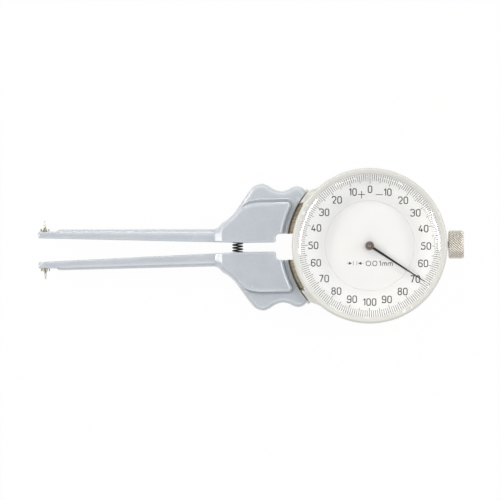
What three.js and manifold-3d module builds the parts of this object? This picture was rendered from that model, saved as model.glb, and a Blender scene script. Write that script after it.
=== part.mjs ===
// Internal dial caliper gauge, in millimetres.
// The dial axis is Z and the back face lies at z = 0. The arms reach along -X, the knob along +X.
// "Reach" is the distance from the dial axis towards the arm tips, so x = -reach.
// "Out" is the distance from the plane between the two arms, so the upper arm has y = out.

import * as THREE from "three";
import { mergeVertices } from "three/addons/utils/BufferGeometryUtils.js";
import Module from "manifold-3d";

const wasm = await Module();
wasm.setup();

// Driving dimensions: dial and case
const bezelRadius = 29;
const bezelRing = 2.45;
const bezelLip = 2;
const bezelSkirtWall = 1.1;
const bezelRound = 0.8;
const coverThickness = 1.8;
const coverEdge = 0.5;
const caseWall = 2.9;
const flangeHeight = 1.2;
const flangeInset = 0.2;
const dialThickness = 0.6;
const dialOverlap = 0.35;
const dialBore = 1.2;
const retainerHeight = 2.1;
const gasketHeight = 0.6;
const crystalThickness = 1.2;
const crystalCrown = 2.4;
const crystalEdgeWidth = 2.2;

// Driving dimensions: arms and grips
const armReach = 122.8;
const contactToEnd = 2.6;
const contactLength = 3.88;
const contactRadius = 0.42;
const contactTipRadius = 0.2;
const contactShankRadius = 0.8;
const contactShankDepth = 1.9;
const collarRadius = 1.7;
const collarHeight = 0.9;
const bossLength = 6.8;
const bossStep = 0.75;
const armRootWidth = 4.9;
const armTipWidth = 3.3;
const armTipThickness = 4.6;
const armGap = 1.65;
const taperInset = 10.7;
const openAngle = THREE.MathUtils.degToRad(2.04);
const armEndRound = 0.6;
const gripReach = 57.7;
const gripHalfWidth = 23.5;
const gripRound = 1.8;
const gripBelowLever = 2;
const gripAboveLever = 2.8;
const gripToBezel = 1.6;
const reliefOut = 4.8;
const reliefDepth = 4.1;
const reliefRadius = 1.3;
const reliefLipRadius = 0.9;
const panelHeight = 1.8;
const panelInset = 6.65;
const panelBevel = 0.9;
const panelCornerRadius = 1.6;
const panelToBezel = 3.4;
const panelRim = 0.95;
const panelRimHeight = 0.35;
const panelGroove = 0.45;
const panelGrooveDepth = 0.3;
const rampLength = 2.3;
const closedGap = 0.25;

// The wavy outer edge of the grip: shares of the way from its corner beside the neck to its end at
// the slender arm, each with a share of the way out from the arm's outer edge to the half width.
const gripCornerOutShare = 0.8;
const gripEdgeShares = [
  [0.957, 0.033], [0.914, 0.125], [0.85, 0.216], [0.787, 0.336], [0.726, 0.511],
  [0.669, 0.679], [0.614, 0.837], [0.563, 0.946], [0.486, 1], [0.422, 0.963],
  [0.352, 0.874], [0.28, 0.828], [0.207, 0.855], [0.152, 0.915], [0.099, 0.933],
  [0.046, 0.891],
];

// The raised panel's bends, in shares of its length and of its distance out.
const panelBendShares = [[0.79, 0.75], [0.69, 0.865], [0.56, 0.963], [0.42, 1]];

// Driving dimensions: return spring between the arms
const springInset = 8.8;
const springRadius = 1.8;
const springWire = 0.38;
const springTurns = 5.2;
const springSeatDepth = 1.5;
const springSeatClearance = 0.3;

// Driving dimensions: neck of the case
const neckToGrip = 0.3;
const neckPastGrip = THREE.MathUtils.degToRad(1.6);
const neckBlendSpan = THREE.MathUtils.degToRad(13.9);
const slotSideGap = 1.1;
const slotClearance = 0.4;

// Driving dimensions: knob
const knobRadius = 5.3;
const knobLength = 5.75;
const knobGap = 0.15;
const knobRound = 0.6;
const knurlDepth = 0.3;
const knurlCount = 36;
const knurlRows = 8;
const stemRadius = 1.2;
const stemInKnob = 3.8;
const bridgeToCrown = 0.6;
const bushShankRadius = 1.9;
const bushHeadRadius = 2.2;

// Driving dimensions: movement
const baseGap = 0.4;
const baseThickness = 1.5;
const bridgeThickness = 1.2;
const bridgeLift = 0.6;
const pivotReachShare = 0.8;
const firstReachShare = 0.52;
const pivotOut = 7;
const pivotRadius = 1.5;
const leverThickness = 2;
const leverLift = 1.3;
const tongueLength = 10.9;
const tongueInset = 7.6;
const arborRadius = 0.5;
const wheelThickness = 0.5;
const wheelLift = 0.4;
const pillarRadius = 1.6;
const pillarPlaceShares = [
  { radius: 0.683, angle: THREE.MathUtils.degToRad(90) },
  { radius: 0.739, angle: THREE.MathUtils.degToRad(-49) },
  { radius: 0.683, angle: THREE.MathUtils.degToRad(-120) },
];
const bossRadius = 2.2;
const sectorArmRootHalf = 3.4;
const sectorArmEndHalf = 2.4;
const sectorRim = 3;
const stopRadius = 0.6;
const stopReach = 1.5;
const hairspringAngle = THREE.MathUtils.degToRad(200);
const hairspringWire = 0.2;
const hairspringHeight = 0.5;
const hairspringTurns = 3.5;
const hairspringPitch = 0.85;
const colletRadius = 1.2;
const stemPinionFace = 1.8;
const crownFace = 1.2;
const carrierThickness = 1.8;

// Gears: a module is pitch diameter over teeth. The modules not given here follow from the axes,
// and the crown gear's teeth from the case's bore.
const sectorTeeth = 168;
const syncTeeth = 28;
const trainFoldShare = 0.91;
const pinionTeeth = 8;
const firstWheelTeeth = 48;
const secondWheelTeeth = 40;
const crownModule = 0.75;
const stemPinionTeeth = 8;
const addendumShare = 0.8;
const dedendumShare = 1.15;
const toothRootShare = 0.54;
const toothTipShare = 0.22;

// Driving dimensions: pointer
const pointerToBezel = 2.15;
const pointerAngle = THREE.MathUtils.degToRad(-33.8);
const pointerWidth = 0.9;
const pointerTipWidth = 0.16;
const pointerThickness = 0.2;
const pointerHeight = 1;
const hubRadius = 1.63;
const hubHeight = 1;
const hubSleeveRadius = 0.9;

// Fits and fasteners
const runningFit = 0.06;
const seatFit = 0.05;
const sideGap = 0.1;
const faceGap = 0.3;
const overrun = 1;
const seam = 0.05;
const coverScrew = { head: 1.1, headHeight: 0.8, shank: 0.7, length: 4 };
const baseScrew = { head: 1.3, headHeight: 0.8, shank: 0.7, length: 3.4 };
const leverScrew = { head: 1.6, headHeight: 1.3, shank: 0.9, length: 5.6 };
const bridgeScrew = { head: 1.4, headHeight: 0.7, shank: 0.7, length: 3.2 };
const leverScrewGap = 0.8;
const slotWidth = 0.4;
const slotDepth = 0.3;

// Facets of the round pieces
const ringSides = 48;
const discSides = 36;
const smallSides = 10;
const pivotSides = 20;
const gripEdgeSteps = 28;
const arcSteps = 8;
const cornerSteps = 4;
const springStepsPerTurn = 8;
const springSides = 5;
const hairspringStepsPerTurn = 10;

// Radii about the dial axis
const bezelBore = bezelRadius - bezelSkirtWall;
const bezelOpening = bezelRadius - bezelRing;
const caseRadius = bezelBore - sideGap;
const caseBore = caseRadius - caseWall;
const baseRadius = caseBore - faceGap;
const dialRadius = bezelOpening + dialOverlap;
const gripArcRadius = bezelRadius + gripToBezel;
const panelArcRadius = bezelRadius + panelToBezel;
const neckRadius = gripArcRadius - neckToGrip;
const crownTeeth = Math.round((2 * (caseBore - faceGap) - crownFace) / crownModule);
const crownInnerRadius = (crownTeeth * crownModule - crownFace) / 2;
const crownOuterRadius = crownInnerRadius + crownFace;
const carrierRadius = caseBore - sideGap;
const carrierBore = crownInnerRadius - stemPinionFace;
const pointerReach = bezelOpening - pointerToBezel;
const coverScrewRadius = caseBore + caseWall * 0.4;
const baseScrewRadius = caseBore - bossRadius;
const coverScrewAngles = [45, 135, 225, 315].map(THREE.MathUtils.degToRad);
const baseScrewAngles = [68, 112, 248, 292].map(THREE.MathUtils.degToRad);

// Levels along the dial axis, from the back face up
const baseLow = coverThickness + baseGap;
const baseTop = baseLow + baseThickness;
const leverLow = baseTop + leverLift;
const leverTop = leverLow + leverThickness;
const lowWheelLow = baseTop + wheelLift;
const lowWheelTop = lowWheelLow + wheelThickness;
const highWheelLow = leverTop + wheelThickness;
const highWheelTop = highWheelLow + wheelThickness;
const bridgeLow = highWheelTop + bridgeLift;
const bridgeTop = bridgeLow + bridgeThickness;
const stemPinionRadius = (stemPinionTeeth * crownModule) / 2;
const crownTipLevel = bridgeTop + bridgeToCrown;
const crownPitchLevel = crownTipLevel + addendumShare * crownModule;
const stemHeight = crownPitchLevel - stemPinionRadius;
const crownRootLevel = crownPitchLevel + dedendumShare * crownModule;
const dialLow = crownRootLevel + carrierThickness;
const dialTop = dialLow + dialThickness;
const caseTop = dialLow - faceGap;
const retainerLow = dialTop + faceGap;
const gasketLow = retainerLow + retainerHeight;
const crystalLow = gasketLow + gasketHeight;
const lipLevel = crystalLow + crystalThickness;
const bezelTop = lipLevel + bezelLip;
const flangeTop = caseTop - bezelSkirtWall * 1.5;
const flangeLow = flangeTop - flangeHeight;
const gripLow = leverLow - gripBelowLever;
const gripTop = leverTop + gripAboveLever;
const panelTop = gripTop + panelHeight;
const pointerLow = dialTop + pointerHeight;
const hubTop = pointerLow + pointerThickness + hubHeight;
const arborFoot = baseLow + sideGap;
const arborHead = bridgeTop - sideGap;
const armMiddle = (gripLow + gripTop) / 2;

// Places along the arms
const contactReach = armReach - contactToEnd;
const taperReach = gripReach - taperInset;
const panelOut = gripHalfWidth - panelInset;
const tongueOut = gripHalfWidth - tongueInset;
const springReach = gripReach - springInset;
const reliefReach = gripArcRadius + reliefDepth;
const tongueEnd = gripArcRadius + tongueLength;
const neckInnerOut = tongueOut + slotClearance;
const leverEyeOut = pivotOut + 4 * pivotRadius;
const slotHalfWidth = Math.max(tongueOut, leverEyeOut) + slotSideGap;
const pivotReach = caseBore * pivotReachShare;
const gripRootOut = outerEdge(gripReach);
const gripCornerOut = THREE.MathUtils.lerp(gripRootOut, gripHalfWidth, gripCornerOutShare);
const gripCornerAngle = Math.asin(gripCornerOut / gripArcRadius);
const gripCornerReach = gripArcRadius * Math.cos(gripCornerAngle);
const neckCornerAngle = gripCornerAngle + neckPastGrip;
const neckBlendAngle = neckCornerAngle + neckBlendSpan;
const closeAngle = Math.asin((innerEdge(armReach) - closedGap) / (armReach - pivotReach));

// The movement's axes and the modules of the gears between them
const centre = new THREE.Vector2(0, 0);
const upperPivot = at(pivotReach, pivotOut);
const lowerPivot = at(pivotReach, -pivotOut);
const firstAxis = new THREE.Vector2(caseBore * firstReachShare, pivotOut);
const sectorModule = (2 * upperPivot.distanceTo(firstAxis)) / (sectorTeeth + pinionTeeth);
const syncModule = (2 * pivotOut) / syncTeeth;
const trainTeeth = firstWheelTeeth + secondWheelTeeth + 2 * pinionTeeth;
const trainModule = (2 * firstAxis.length()) / (trainTeeth * trainFoldShare);
const sectorRadius = (sectorTeeth * sectorModule) / 2;
const trainPinionRadius = (pinionTeeth * trainModule) / 2;
const firstWheelRadius = (firstWheelTeeth * trainModule) / 2;
const secondWheelRadius = (secondWheelTeeth * trainModule) / 2;
const secondAxis = meetingPoint(
  centre,
  secondWheelRadius + trainPinionRadius,
  firstAxis,
  firstWheelRadius + trainPinionRadius,
);
const hairspringAxis = polar(secondWheelRadius + trainPinionRadius, hairspringAngle);
const arborAxes = [firstAxis, secondAxis, centre, hairspringAxis];
const pillarAxes = pillarPlaceShares.map(({ radius, angle }) => polar(caseBore * radius, angle));
const leverScrewMiddle = gripArcRadius + tongueLength * 0.46;
const leverScrewStep = leverScrew.head + leverScrewGap / 2;
const leverScrewAxes = [leverScrewStep, -leverScrewStep].map((step) =>
  at(leverScrewMiddle + step, (reliefOut + tongueOut) / 2 + leverScrewGap),
);

// Colours and finishes
const looks = {
  castPaint: { color: 0xbac2cc, roughness: 0.42, metalness: 0.35 },
  satinChrome: { color: 0xe4e3da, roughness: 0.35, metalness: 0.7 },
  nickel: { color: 0xcfc8ba, roughness: 0.3, metalness: 0.9 },
  steel: { color: 0xb8b8b6, roughness: 0.3, metalness: 0.9 },
  brass: { color: 0xc8a661, roughness: 0.35, metalness: 0.9 },
  bronze: { color: 0x8f7a58, roughness: 0.45, metalness: 0.8 },
  springSteel: { color: 0x26262a, roughness: 0.4, metalness: 0.8 },
  blueSteel: { color: 0x39425c, roughness: 0.35, metalness: 0.8 },
  dialPaint: { color: 0xf2f3f4, roughness: 0.6, metalness: 0 },
  blackPaint: { color: 0x17171a, roughness: 0.5, metalness: 0 },
  hubMetal: { color: 0x8b8078, roughness: 0.4, metalness: 0.7 },
  rubber: { color: 0x222222, roughness: 0.8, metalness: 0 },
  crystal: { color: 0xffffff, roughness: 0.05, metalness: 0, transparent: true, opacity: 0.25 },
};

// Points

function polar(radius, angle) {
  return new THREE.Vector2(radius * Math.cos(angle), radius * Math.sin(angle));
}

// A point from its reach and its distance out from the middle plane.
function at(reach, out) {
  return new THREE.Vector2(-reach, out);
}

// The point at the given distances from two centres, on the clockwise side of the line between them.
function meetingPoint(a, fromA, b, fromB) {
  const line = b.clone().sub(a);
  const span = line.length();
  const along = (fromA ** 2 - fromB ** 2 + span ** 2) / (2 * span);
  const aside = Math.sqrt(fromA ** 2 - along ** 2);
  const unit = line.divideScalar(span);
  return new THREE.Vector2(
    a.x + unit.x * along + unit.y * aside,
    a.y + unit.y * along - unit.x * aside,
  );
}

function arcPoints(middle, radius, from, to, steps) {
  const points = [];
  for (let i = 0; i <= steps; i++)
    points.push(polar(radius, from + ((to - from) * i) / steps).add(middle));
  return points;
}

// Closed geometry and solids

// Reverses every face of an indexed geometry.
function turnedInsideOut(geometry) {
  const corners = geometry.index.array;
  for (let i = 0; i < corners.length; i += 3)
    [corners[i + 1], corners[i + 2]] = [corners[i + 2], corners[i + 1]];
  return geometry;
}

function signedVolume(geometry) {
  const p = geometry.attributes.position;
  const corners = geometry.index.array;
  const [a, b, c] = [new THREE.Vector3(), new THREE.Vector3(), new THREE.Vector3()];
  let volume = 0;
  for (let i = 0; i < corners.length; i += 3) {
    a.fromBufferAttribute(p, corners[i]);
    b.fromBufferAttribute(p, corners[i + 1]);
    c.fromBufferAttribute(p, corners[i + 2]);
    volume += a.dot(b.cross(c));
  }
  return volume;
}

// Merges the shared corners of a geometry, drops the triangles that have collapsed,
// and turns it to face out.
function closed(geometry) {
  const bare = new THREE.BufferGeometry();
  bare.setAttribute("position", geometry.getAttribute("position"));
  if (geometry.index) bare.setIndex(geometry.index);
  const merged = mergeVertices(bare);
  const old = merged.index.array;
  const kept = [];
  for (let i = 0; i < old.length; i += 3) {
    const [a, b, c] = [old[i], old[i + 1], old[i + 2]];
    if (a !== b && b !== c && c !== a) kept.push(a, b, c);
  }
  merged.setIndex(kept);
  return signedVolume(merged) < 0 ? turnedInsideOut(merged) : merged;
}

function solidOf(geometry) {
  const whole = closed(geometry);
  return new wasm.Manifold(
    new wasm.Mesh({
      numProp: 3,
      vertProperties: new Float32Array(whole.attributes.position.array),
      triVerts: new Uint32Array(whole.index.array),
    }),
  );
}

function geometryOf(solid) {
  const mesh = solid.getMesh();
  const geometry = new THREE.BufferGeometry();
  const places = new Float32Array(mesh.numVert * 3);
  for (let i = 0; i < mesh.numVert; i++)
    places.set(mesh.vertProperties.subarray(i * mesh.numProp, i * mesh.numProp + 3), i * 3);
  geometry.setAttribute("position", new THREE.BufferAttribute(places, 3));
  geometry.setIndex(new THREE.BufferAttribute(new Uint32Array(mesh.triVerts), 1));
  geometry.computeVertexNormals();
  return geometry;
}

function join(first, ...others) {
  return geometryOf(others.reduce((sum, g) => sum.add(solidOf(g)), solidOf(first)));
}

function cut(first, ...others) {
  return geometryOf(others.reduce((rest, g) => rest.subtract(solidOf(g)), solidOf(first)));
}

function common(first, second) {
  return geometryOf(solidOf(first).intersect(solidOf(second)));
}

// A flat outline of points given thickness from one level to another.
function plate(points, low, high) {
  const shape = new THREE.Shape(points);
  const geometry = new THREE.ExtrudeGeometry(shape, { depth: high - low, bevelEnabled: false });
  return geometry.translate(0, 0, low);
}

// A plate whose edges are rounded inwards at both faces.
function softPlate(points, low, high, round, steps, grow = 0) {
  const shape = new THREE.Shape(points);
  const geometry = new THREE.ExtrudeGeometry(shape, {
    depth: high - low - 2 * round,
    bevelThickness: round,
    bevelSize: round,
    bevelOffset: grow - round,
    bevelSegments: steps,
  });
  return geometry.translate(0, 0, low + round);
}

// A closed profile of [radius, level] pairs turned about the Z axis.
function turned(profile, sides, middle = centre) {
  const points = profile.map(([radius, level]) => new THREE.Vector2(radius, level));
  const first = profile[0];
  const last = profile[profile.length - 1];
  if (first[0] !== 0 || last[0] !== 0) points.push(points[0].clone());
  const geometry = new THREE.LatheGeometry(points, sides);
  return geometry.rotateX(Math.PI / 2).translate(middle.x, middle.y, 0);
}

function disc(radius, low, high, sides, middle = centre) {
  return turned([[0, low], [radius, low], [radius, high], [0, high]], sides, middle);
}

function ring(bore, radius, low, high, sides, middle = centre) {
  return turned([[bore, low], [radius, low], [radius, high], [bore, high]], sides, middle);
}

// A closed skin over rings of points, each ring with the same number, with flat ends.
function skin(rings) {
  const places = rings.flat();
  const count = rings[0].length;
  const faces = [];
  for (let i = 0; i + 1 < rings.length; i++)
    for (let j = 0; j < count; j++) {
      const next = (j + 1) % count;
      const [a, b] = [i * count + j, i * count + next];
      const [c, d] = [a + count, b + count];
      faces.push(a, b, d, a, d, c);
    }
  for (const [start, back] of [[0, true], [(rings.length - 1) * count, false]])
    for (let j = 1; j + 1 < count; j++)
      faces.push(start, start + (back ? j + 1 : j), start + (back ? j : j + 1));
  const geometry = new THREE.BufferGeometry().setFromPoints(places);
  geometry.setIndex(faces);
  return geometry;
}

// A round bar from one point to another.
function bar(radius, from, to, sides, endRadius = radius) {
  const length = from.distanceTo(to);
  const geometry = new THREE.CylinderGeometry(endRadius, radius, length, sides);
  const along = to.clone().sub(from).normalize();
  const turn = new THREE.Quaternion().setFromUnitVectors(new THREE.Vector3(0, 1, 0), along);
  const middle = from.clone().lerp(to, 0.5);
  return geometry.applyQuaternion(turn).translate(middle.x, middle.y, middle.z);
}

// The same geometry for the other arm: mirrored in the plane between the arms.
function mirrored(geometry) {
  const copy = closed(geometry.clone().scale(1, -1, 1));
  copy.computeVertexNormals();
  return copy;
}

// Gears

// The outline of a run of gear teeth about the origin, with the first tooth's middle at the phase.
function toothPoints(teeth, module, phase, first = 0, count = teeth) {
  const pitchRadius = (teeth * module) / 2;
  const root = pitchRadius - dedendumShare * module;
  const tip = pitchRadius + addendumShare * module;
  const half = Math.PI / teeth;
  const points = [];
  for (let i = first; i < first + count; i++) {
    const middle = phase + 2 * half * i;
    points.push(polar(root, middle - half * toothRootShare));
    points.push(polar(tip, middle - half * toothTipShare));
    points.push(polar(tip, middle + half * toothTipShare));
    points.push(polar(root, middle + half * toothRootShare));
  }
  return points;
}

// The phase that sets one gear's tooth in the other's gap. Direction points from the first to the second.
function meshedPhase(teeth, phase, otherTeeth, direction) {
  const shift = ((phase - direction) * teeth) / otherTeeth;
  return direction + Math.PI - shift - Math.PI / otherTeeth;
}

function direction(from, to) {
  return Math.atan2(to.y - from.y, to.x - from.x);
}

function wheel(teeth, module, phase, low, high, bore) {
  const toothed = plate(toothPoints(teeth, module, phase), low, high);
  return cut(toothed, disc(bore, low - overrun, high + overrun, smallSides));
}

// An arbor of [radius, level] steps joined to a toothed pinion.
function pinionArbor(steps, module, phase, low, high) {
  const stem = turned(steps, smallSides);
  return join(stem, plate(toothPoints(pinionTeeth, module, phase), low, high));
}

// Fasteners: the head's free face is at the given level and the shank goes the other way.
function screw(size, side) {
  const { head, headHeight, shank, length } = size;
  const body = turned(
    [[0, 0], [head, 0], [head, headHeight], [shank, headHeight], [shank, length], [0, length]],
    smallSides,
  );
  const slot = new THREE.BoxGeometry(2 * head + overrun, slotWidth, 2 * slotDepth);
  const slotted = cut(body, slot);
  return side < 0 ? slotted : slotted.rotateX(Math.PI);
}

function screwHole(size, low, high, middle) {
  return disc(size.shank + seatFit, low, high, smallSides, middle);
}

// Arms

// Distance out of the arm's inner edge at a reach.
function innerEdge(reach) {
  return armGap + Math.max(0, reach - taperReach) * Math.tan(openAngle);
}

function outerEdge(reach) {
  const share = (reach - gripReach) / (armReach - gripReach);
  return innerEdge(reach) + THREE.MathUtils.lerp(armRootWidth, armTipWidth, share);
}

// The wavy outer edge of the grip, from the slender arm to the corner beside the neck.
function gripEdge() {
  const places = [[1, 0], ...gripEdgeShares, [0, gripCornerOutShare]];
  const knots = places.map(([reachShare, outShare]) =>
    at(
      THREE.MathUtils.lerp(gripCornerReach, gripReach, reachShare),
      THREE.MathUtils.lerp(gripRootOut, gripHalfWidth, outShare),
    ),
  );
  return new THREE.SplineCurve(knots).getPoints(gripEdgeSteps);
}

// The grip's true outline: outer edge, arc along the bezel, relief and inner edge.
function gripOutline() {
  const reliefAngle = Math.asin(reliefOut / gripArcRadius);
  const [from, to] = [Math.PI - gripCornerAngle, Math.PI - reliefAngle];
  const arc = arcPoints(centre, gripArcRadius, from, to, arcSteps);
  const hollow = at(reliefReach - reliefRadius, reliefOut - reliefRadius);
  const lip = at(reliefReach + reliefLipRadius, armGap + reliefLipRadius);
  return [
    ...gripEdge(),
    ...arc.slice(1),
    ...arcPoints(hollow, reliefRadius, Math.PI / 2, Math.PI, cornerSteps),
    ...arcPoints(lip, reliefLipRadius, 0, -Math.PI / 2, cornerSteps),
    at(taperReach, innerEdge(taperReach)),
    at(gripReach, innerEdge(gripReach)),
  ];
}

// The grip's outer edge carried on past the faces that stay sharp.
function gripSoftOutline() {
  const past = 2 * gripRound + overrun;
  return [
    at(gripReach + past, gripRootOut),
    ...gripEdge(),
    at(gripCornerReach - past, gripCornerOut - past / 2),
    at(gripCornerReach - past, -past),
    at(gripReach + past, -past),
  ];
}

// The raised panel's outline, carried on past the middle plane, where the casting is cut off.
function panelOutline() {
  const start = gripReach - rampLength + panelBevel / 2;
  const cornerOut = panelOut - panelCornerRadius;
  const cornerArc = panelArcRadius + panelCornerRadius;
  const cornerAngle = Math.asin(cornerOut / cornerArc);
  const cornerMiddle = polar(cornerArc, Math.PI - cornerAngle);
  const length = start + cornerMiddle.x;
  const bends = panelBendShares.map(([along, up]) =>
    at(-cornerMiddle.x + along * length, up * panelOut),
  );
  const past = panelOut / 3;
  return [
    at(start, -past),
    at(start, gripRootOut + panelBevel),
    ...new THREE.SplineCurve([
      at(start - panelBevel / 2, gripRootOut + panelBevel * 1.6),
      ...bends,
    ]).getPoints(arcSteps),
    ...arcPoints(cornerMiddle, panelCornerRadius, Math.PI / 2, -cornerAngle, cornerSteps),
    ...arcPoints(centre, panelArcRadius, Math.PI - cornerAngle * 0.8, Math.PI, arcSteps),
    polar(panelArcRadius, Math.PI).add(new THREE.Vector2(0, -past)),
  ];
}

// One cross-section of the slender arm: flat inner side, well rounded outer side.
function armSection(reach, low, high, outStep = 0, shrink = 0) {
  const inner = innerEdge(reach) + shrink;
  const outer = outerEdge(reach) - outStep - shrink;
  const [bottom, top] = [low + shrink, high - shrink];
  const width = outer - inner;
  const edge = width * 0.1;
  const round = Math.min(width * 0.5, (top - bottom) * 0.42);
  const points = [[inner, bottom + edge], [inner + edge, bottom]];
  for (const [level, from] of [[bottom + round, -Math.PI / 2], [top - round, 0]])
    for (let i = 0; i <= 3; i++) {
      const angle = from + (i * Math.PI) / 6;
      const out = outer - round + round * Math.cos(angle);
      points.push([out, level + round * Math.sin(angle)]);
    }
  points.push([inner + edge, top], [inner, top - edge]);
  return points.map(([out, level]) => new THREE.Vector3(-reach, out, level));
}

function slenderArm() {
  const tipLow = armMiddle - armTipThickness / 2;
  const tipHigh = armMiddle + armTipThickness / 2;
  const rootLow = gripLow + panelBevel;
  const bossStart = armReach - bossLength;
  const rampFoot = gripReach - panelBevel / 2;
  const rampTop = rampFoot - rampLength;
  return skin([
    armSection(rampTop - overrun, rootLow, panelTop - seam),
    armSection(rampTop, rootLow, panelTop - seam),
    armSection(rampFoot, rootLow, gripTop),
    armSection(bossStart - bossStep, tipLow, tipHigh),
    armSection(bossStart, tipLow, tipHigh, bossStep),
    armSection(armReach - armEndRound, tipLow, tipHigh, bossStep),
    armSection(armReach - armEndRound / 3, tipLow, tipHigh, bossStep, armEndRound / 3),
    armSection(armReach, tipLow, tipHigh, bossStep, armEndRound * 0.8),
  ]);
}

// The lever plate's tongue, which lies in a pocket in the back of the grip.
function tonguePoints(grow) {
  return [
    at(pivotReach + pivotRadius, reliefOut - grow),
    at(gripArcRadius + faceGap, reliefOut - grow),
    at(gripArcRadius + faceGap, reliefOut + reliefRadius - grow),
    at(tongueEnd + grow, reliefOut + 2 * reliefRadius - grow),
    at(tongueEnd + grow, tongueOut - 2 * pivotRadius + grow),
    at(tongueEnd - 2 * pivotRadius + grow, tongueOut + grow),
    at(pivotReach + 4 * pivotRadius, tongueOut + grow),
    at(pivotReach, leverEyeOut + grow),
  ];
}

function armCasting() {
  const panelFoot = gripTop - 3 * panelBevel;
  const rimTop = gripTop + panelRimHeight;
  const grooveLow = gripTop - panelGrooveDepth;
  const rimmed = join(
    softPlate(gripSoftOutline(), gripLow, gripTop, gripRound, 3),
    softPlate(panelOutline(), panelFoot, rimTop, panelRimHeight, 1, panelRim),
  );
  const body = join(
    cut(rimmed, softPlate(panelOutline(), grooveLow, rimTop + overrun, seam, 1, panelGroove)),
    softPlate(panelOutline(), panelFoot, panelTop, panelBevel, 2),
  );
  const grip = common(body, plate(gripOutline(), 0, panelTop + overrun));
  const springMiddle = new THREE.Vector3(-springReach, 0, armMiddle);
  const springSeat = new THREE.Vector3(-springReach, armGap + springSeatDepth, armMiddle);
  const springSeatRadius = springRadius + springWire + springSeatClearance;
  const contact = contactPlace();
  const screwTop = leverLow - leverScrew.headHeight + leverScrew.length + faceGap;
  return cut(
    join(grip, slenderArm()),
    plate(tonguePoints(sideGap), gripLow - overrun, leverTop),
    ...leverScrewAxes.map((axis) => screwHole(leverScrew, leverTop - overrun, screwTop, axis)),
    bar(springSeatRadius, springMiddle, springSeat, smallSides),
    bar(contactShankRadius + seatFit, contact.foot, contact.far, smallSides),
  );
}

// Contact pin: a shank in the arm's boss and a slim tapered point outside it.
function contactPlace() {
  const face = outerEdge(contactReach) - bossStep + seatFit;
  const on = (out) => new THREE.Vector3(-contactReach, out, armMiddle);
  return {
    foot: on(face - contactShankDepth),
    face: on(face),
    collarTop: on(face + collarHeight),
    tip: on(face + contactLength),
    far: on(face + overrun),
  };
}

function contactPin() {
  const { foot, face, collarTop, tip } = contactPlace();
  const start = foot.clone().add(new THREE.Vector3(0, seatFit, 0));
  const shoulder = face.clone().lerp(collarTop, 0.5);
  return join(
    bar(contactShankRadius, start, shoulder, smallSides),
    bar(contactRadius, shoulder.clone().lerp(start, 0.2), tip, smallSides, contactTipRadius),
  );
}

function contactCollar() {
  const { face, collarTop } = contactPlace();
  const bore = bar(
    contactShankRadius + seatFit,
    face.clone().lerp(collarTop, -0.5),
    face.clone().lerp(collarTop, 1.5),
    smallSides,
  );
  const slot = new THREE.BoxGeometry(contactShankRadius, collarHeight, 2 * collarRadius + overrun);
  slot.translate(collarTop.x, collarTop.y, collarTop.z);
  return cut(bar(collarRadius, face, collarTop, smallSides), bore, slot);
}

function leverPlate(isUpper) {
  const pivot = upperPivot;
  const syncPhase = isUpper
    ? -Math.PI / 2
    : -meshedPhase(syncTeeth, -Math.PI / 2, syncTeeth, -Math.PI / 2);
  const syncRun = [centre, ...toothPoints(syncTeeth, syncModule, syncPhase, -2, 5)];
  const syncRoot = (syncTeeth * syncModule) / 2 - dedendumShare * syncModule;
  const parts = [
    disc(syncRoot, leverLow, leverTop, discSides, pivot),
    plate(tonguePoints(0), leverLow, leverTop),
    plate(syncRun, leverLow, leverTop).translate(pivot.x, pivot.y, 0),
  ];
  if (isUpper) parts.push(...sectorArm().map((g) => g.translate(pivot.x, pivot.y, 0)));
  return cut(
    join(...parts),
    disc(pivotRadius + runningFit, leverLow - overrun, leverTop + overrun, pivotSides, pivot),
    ...leverScrewAxes.map((axis) =>
      disc(leverScrew.shank + sideGap, leverLow - overrun, leverTop + overrun, smallSides, axis),
    ),
  );
}

// The arm and toothed head of the sector, about the pivot.
function sectorArm() {
  const teeth = toothPoints(sectorTeeth, sectorModule, 0, -3, 6);
  const rim = sectorRadius - sectorRim;
  const pitch = (2 * Math.PI) / sectorTeeth;
  const back = [polar(rim, 2.5 * pitch), polar(rim, -3.5 * pitch)];
  const arm = [
    new THREE.Vector2(0, sectorArmRootHalf),
    new THREE.Vector2(0, -sectorArmRootHalf),
    new THREE.Vector2(rim + sectorRim / 3, -sectorArmEndHalf),
    new THREE.Vector2(rim + sectorRim / 3, sectorArmEndHalf),
  ];
  return [plate([...teeth, ...back], leverLow, leverTop), plate(arm, leverLow, leverTop)];
}

// Half the sector arm's width at a distance from its pivot.
function sectorHalfWidth(distance) {
  const share = distance / (sectorRadius - (sectorRim * 2) / 3);
  return THREE.MathUtils.lerp(sectorArmRootHalf, sectorArmEndHalf, share);
}

// Stop pins either side of the sector arm: one holds the arms open, the other ends their closing.
const stopDistance = pivotReach - stopReach;
const openStop = at(stopReach, pivotOut - sectorHalfWidth(stopDistance) - stopRadius - sideGap);
const closeStop = at(
  stopReach,
  pivotOut +
    sectorHalfWidth(stopDistance) +
    stopDistance * Math.tan(closeAngle) +
    stopRadius +
    faceGap,
);

// Return spring: an open coil whose axis runs from arm to arm
function springPoints() {
  const half = armGap + springSeatDepth - springWire;
  const steps = Math.round(springTurns * springStepsPerTurn);
  const points = [];
  for (let i = 0; i <= steps; i++) {
    const angle = (2 * Math.PI * i) / springStepsPerTurn;
    points.push(
      new THREE.Vector3(
        springRadius * Math.cos(angle),
        THREE.MathUtils.lerp(-half, half, i / steps),
        springRadius * Math.sin(angle),
      ),
    );
  }
  return points;
}

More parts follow.
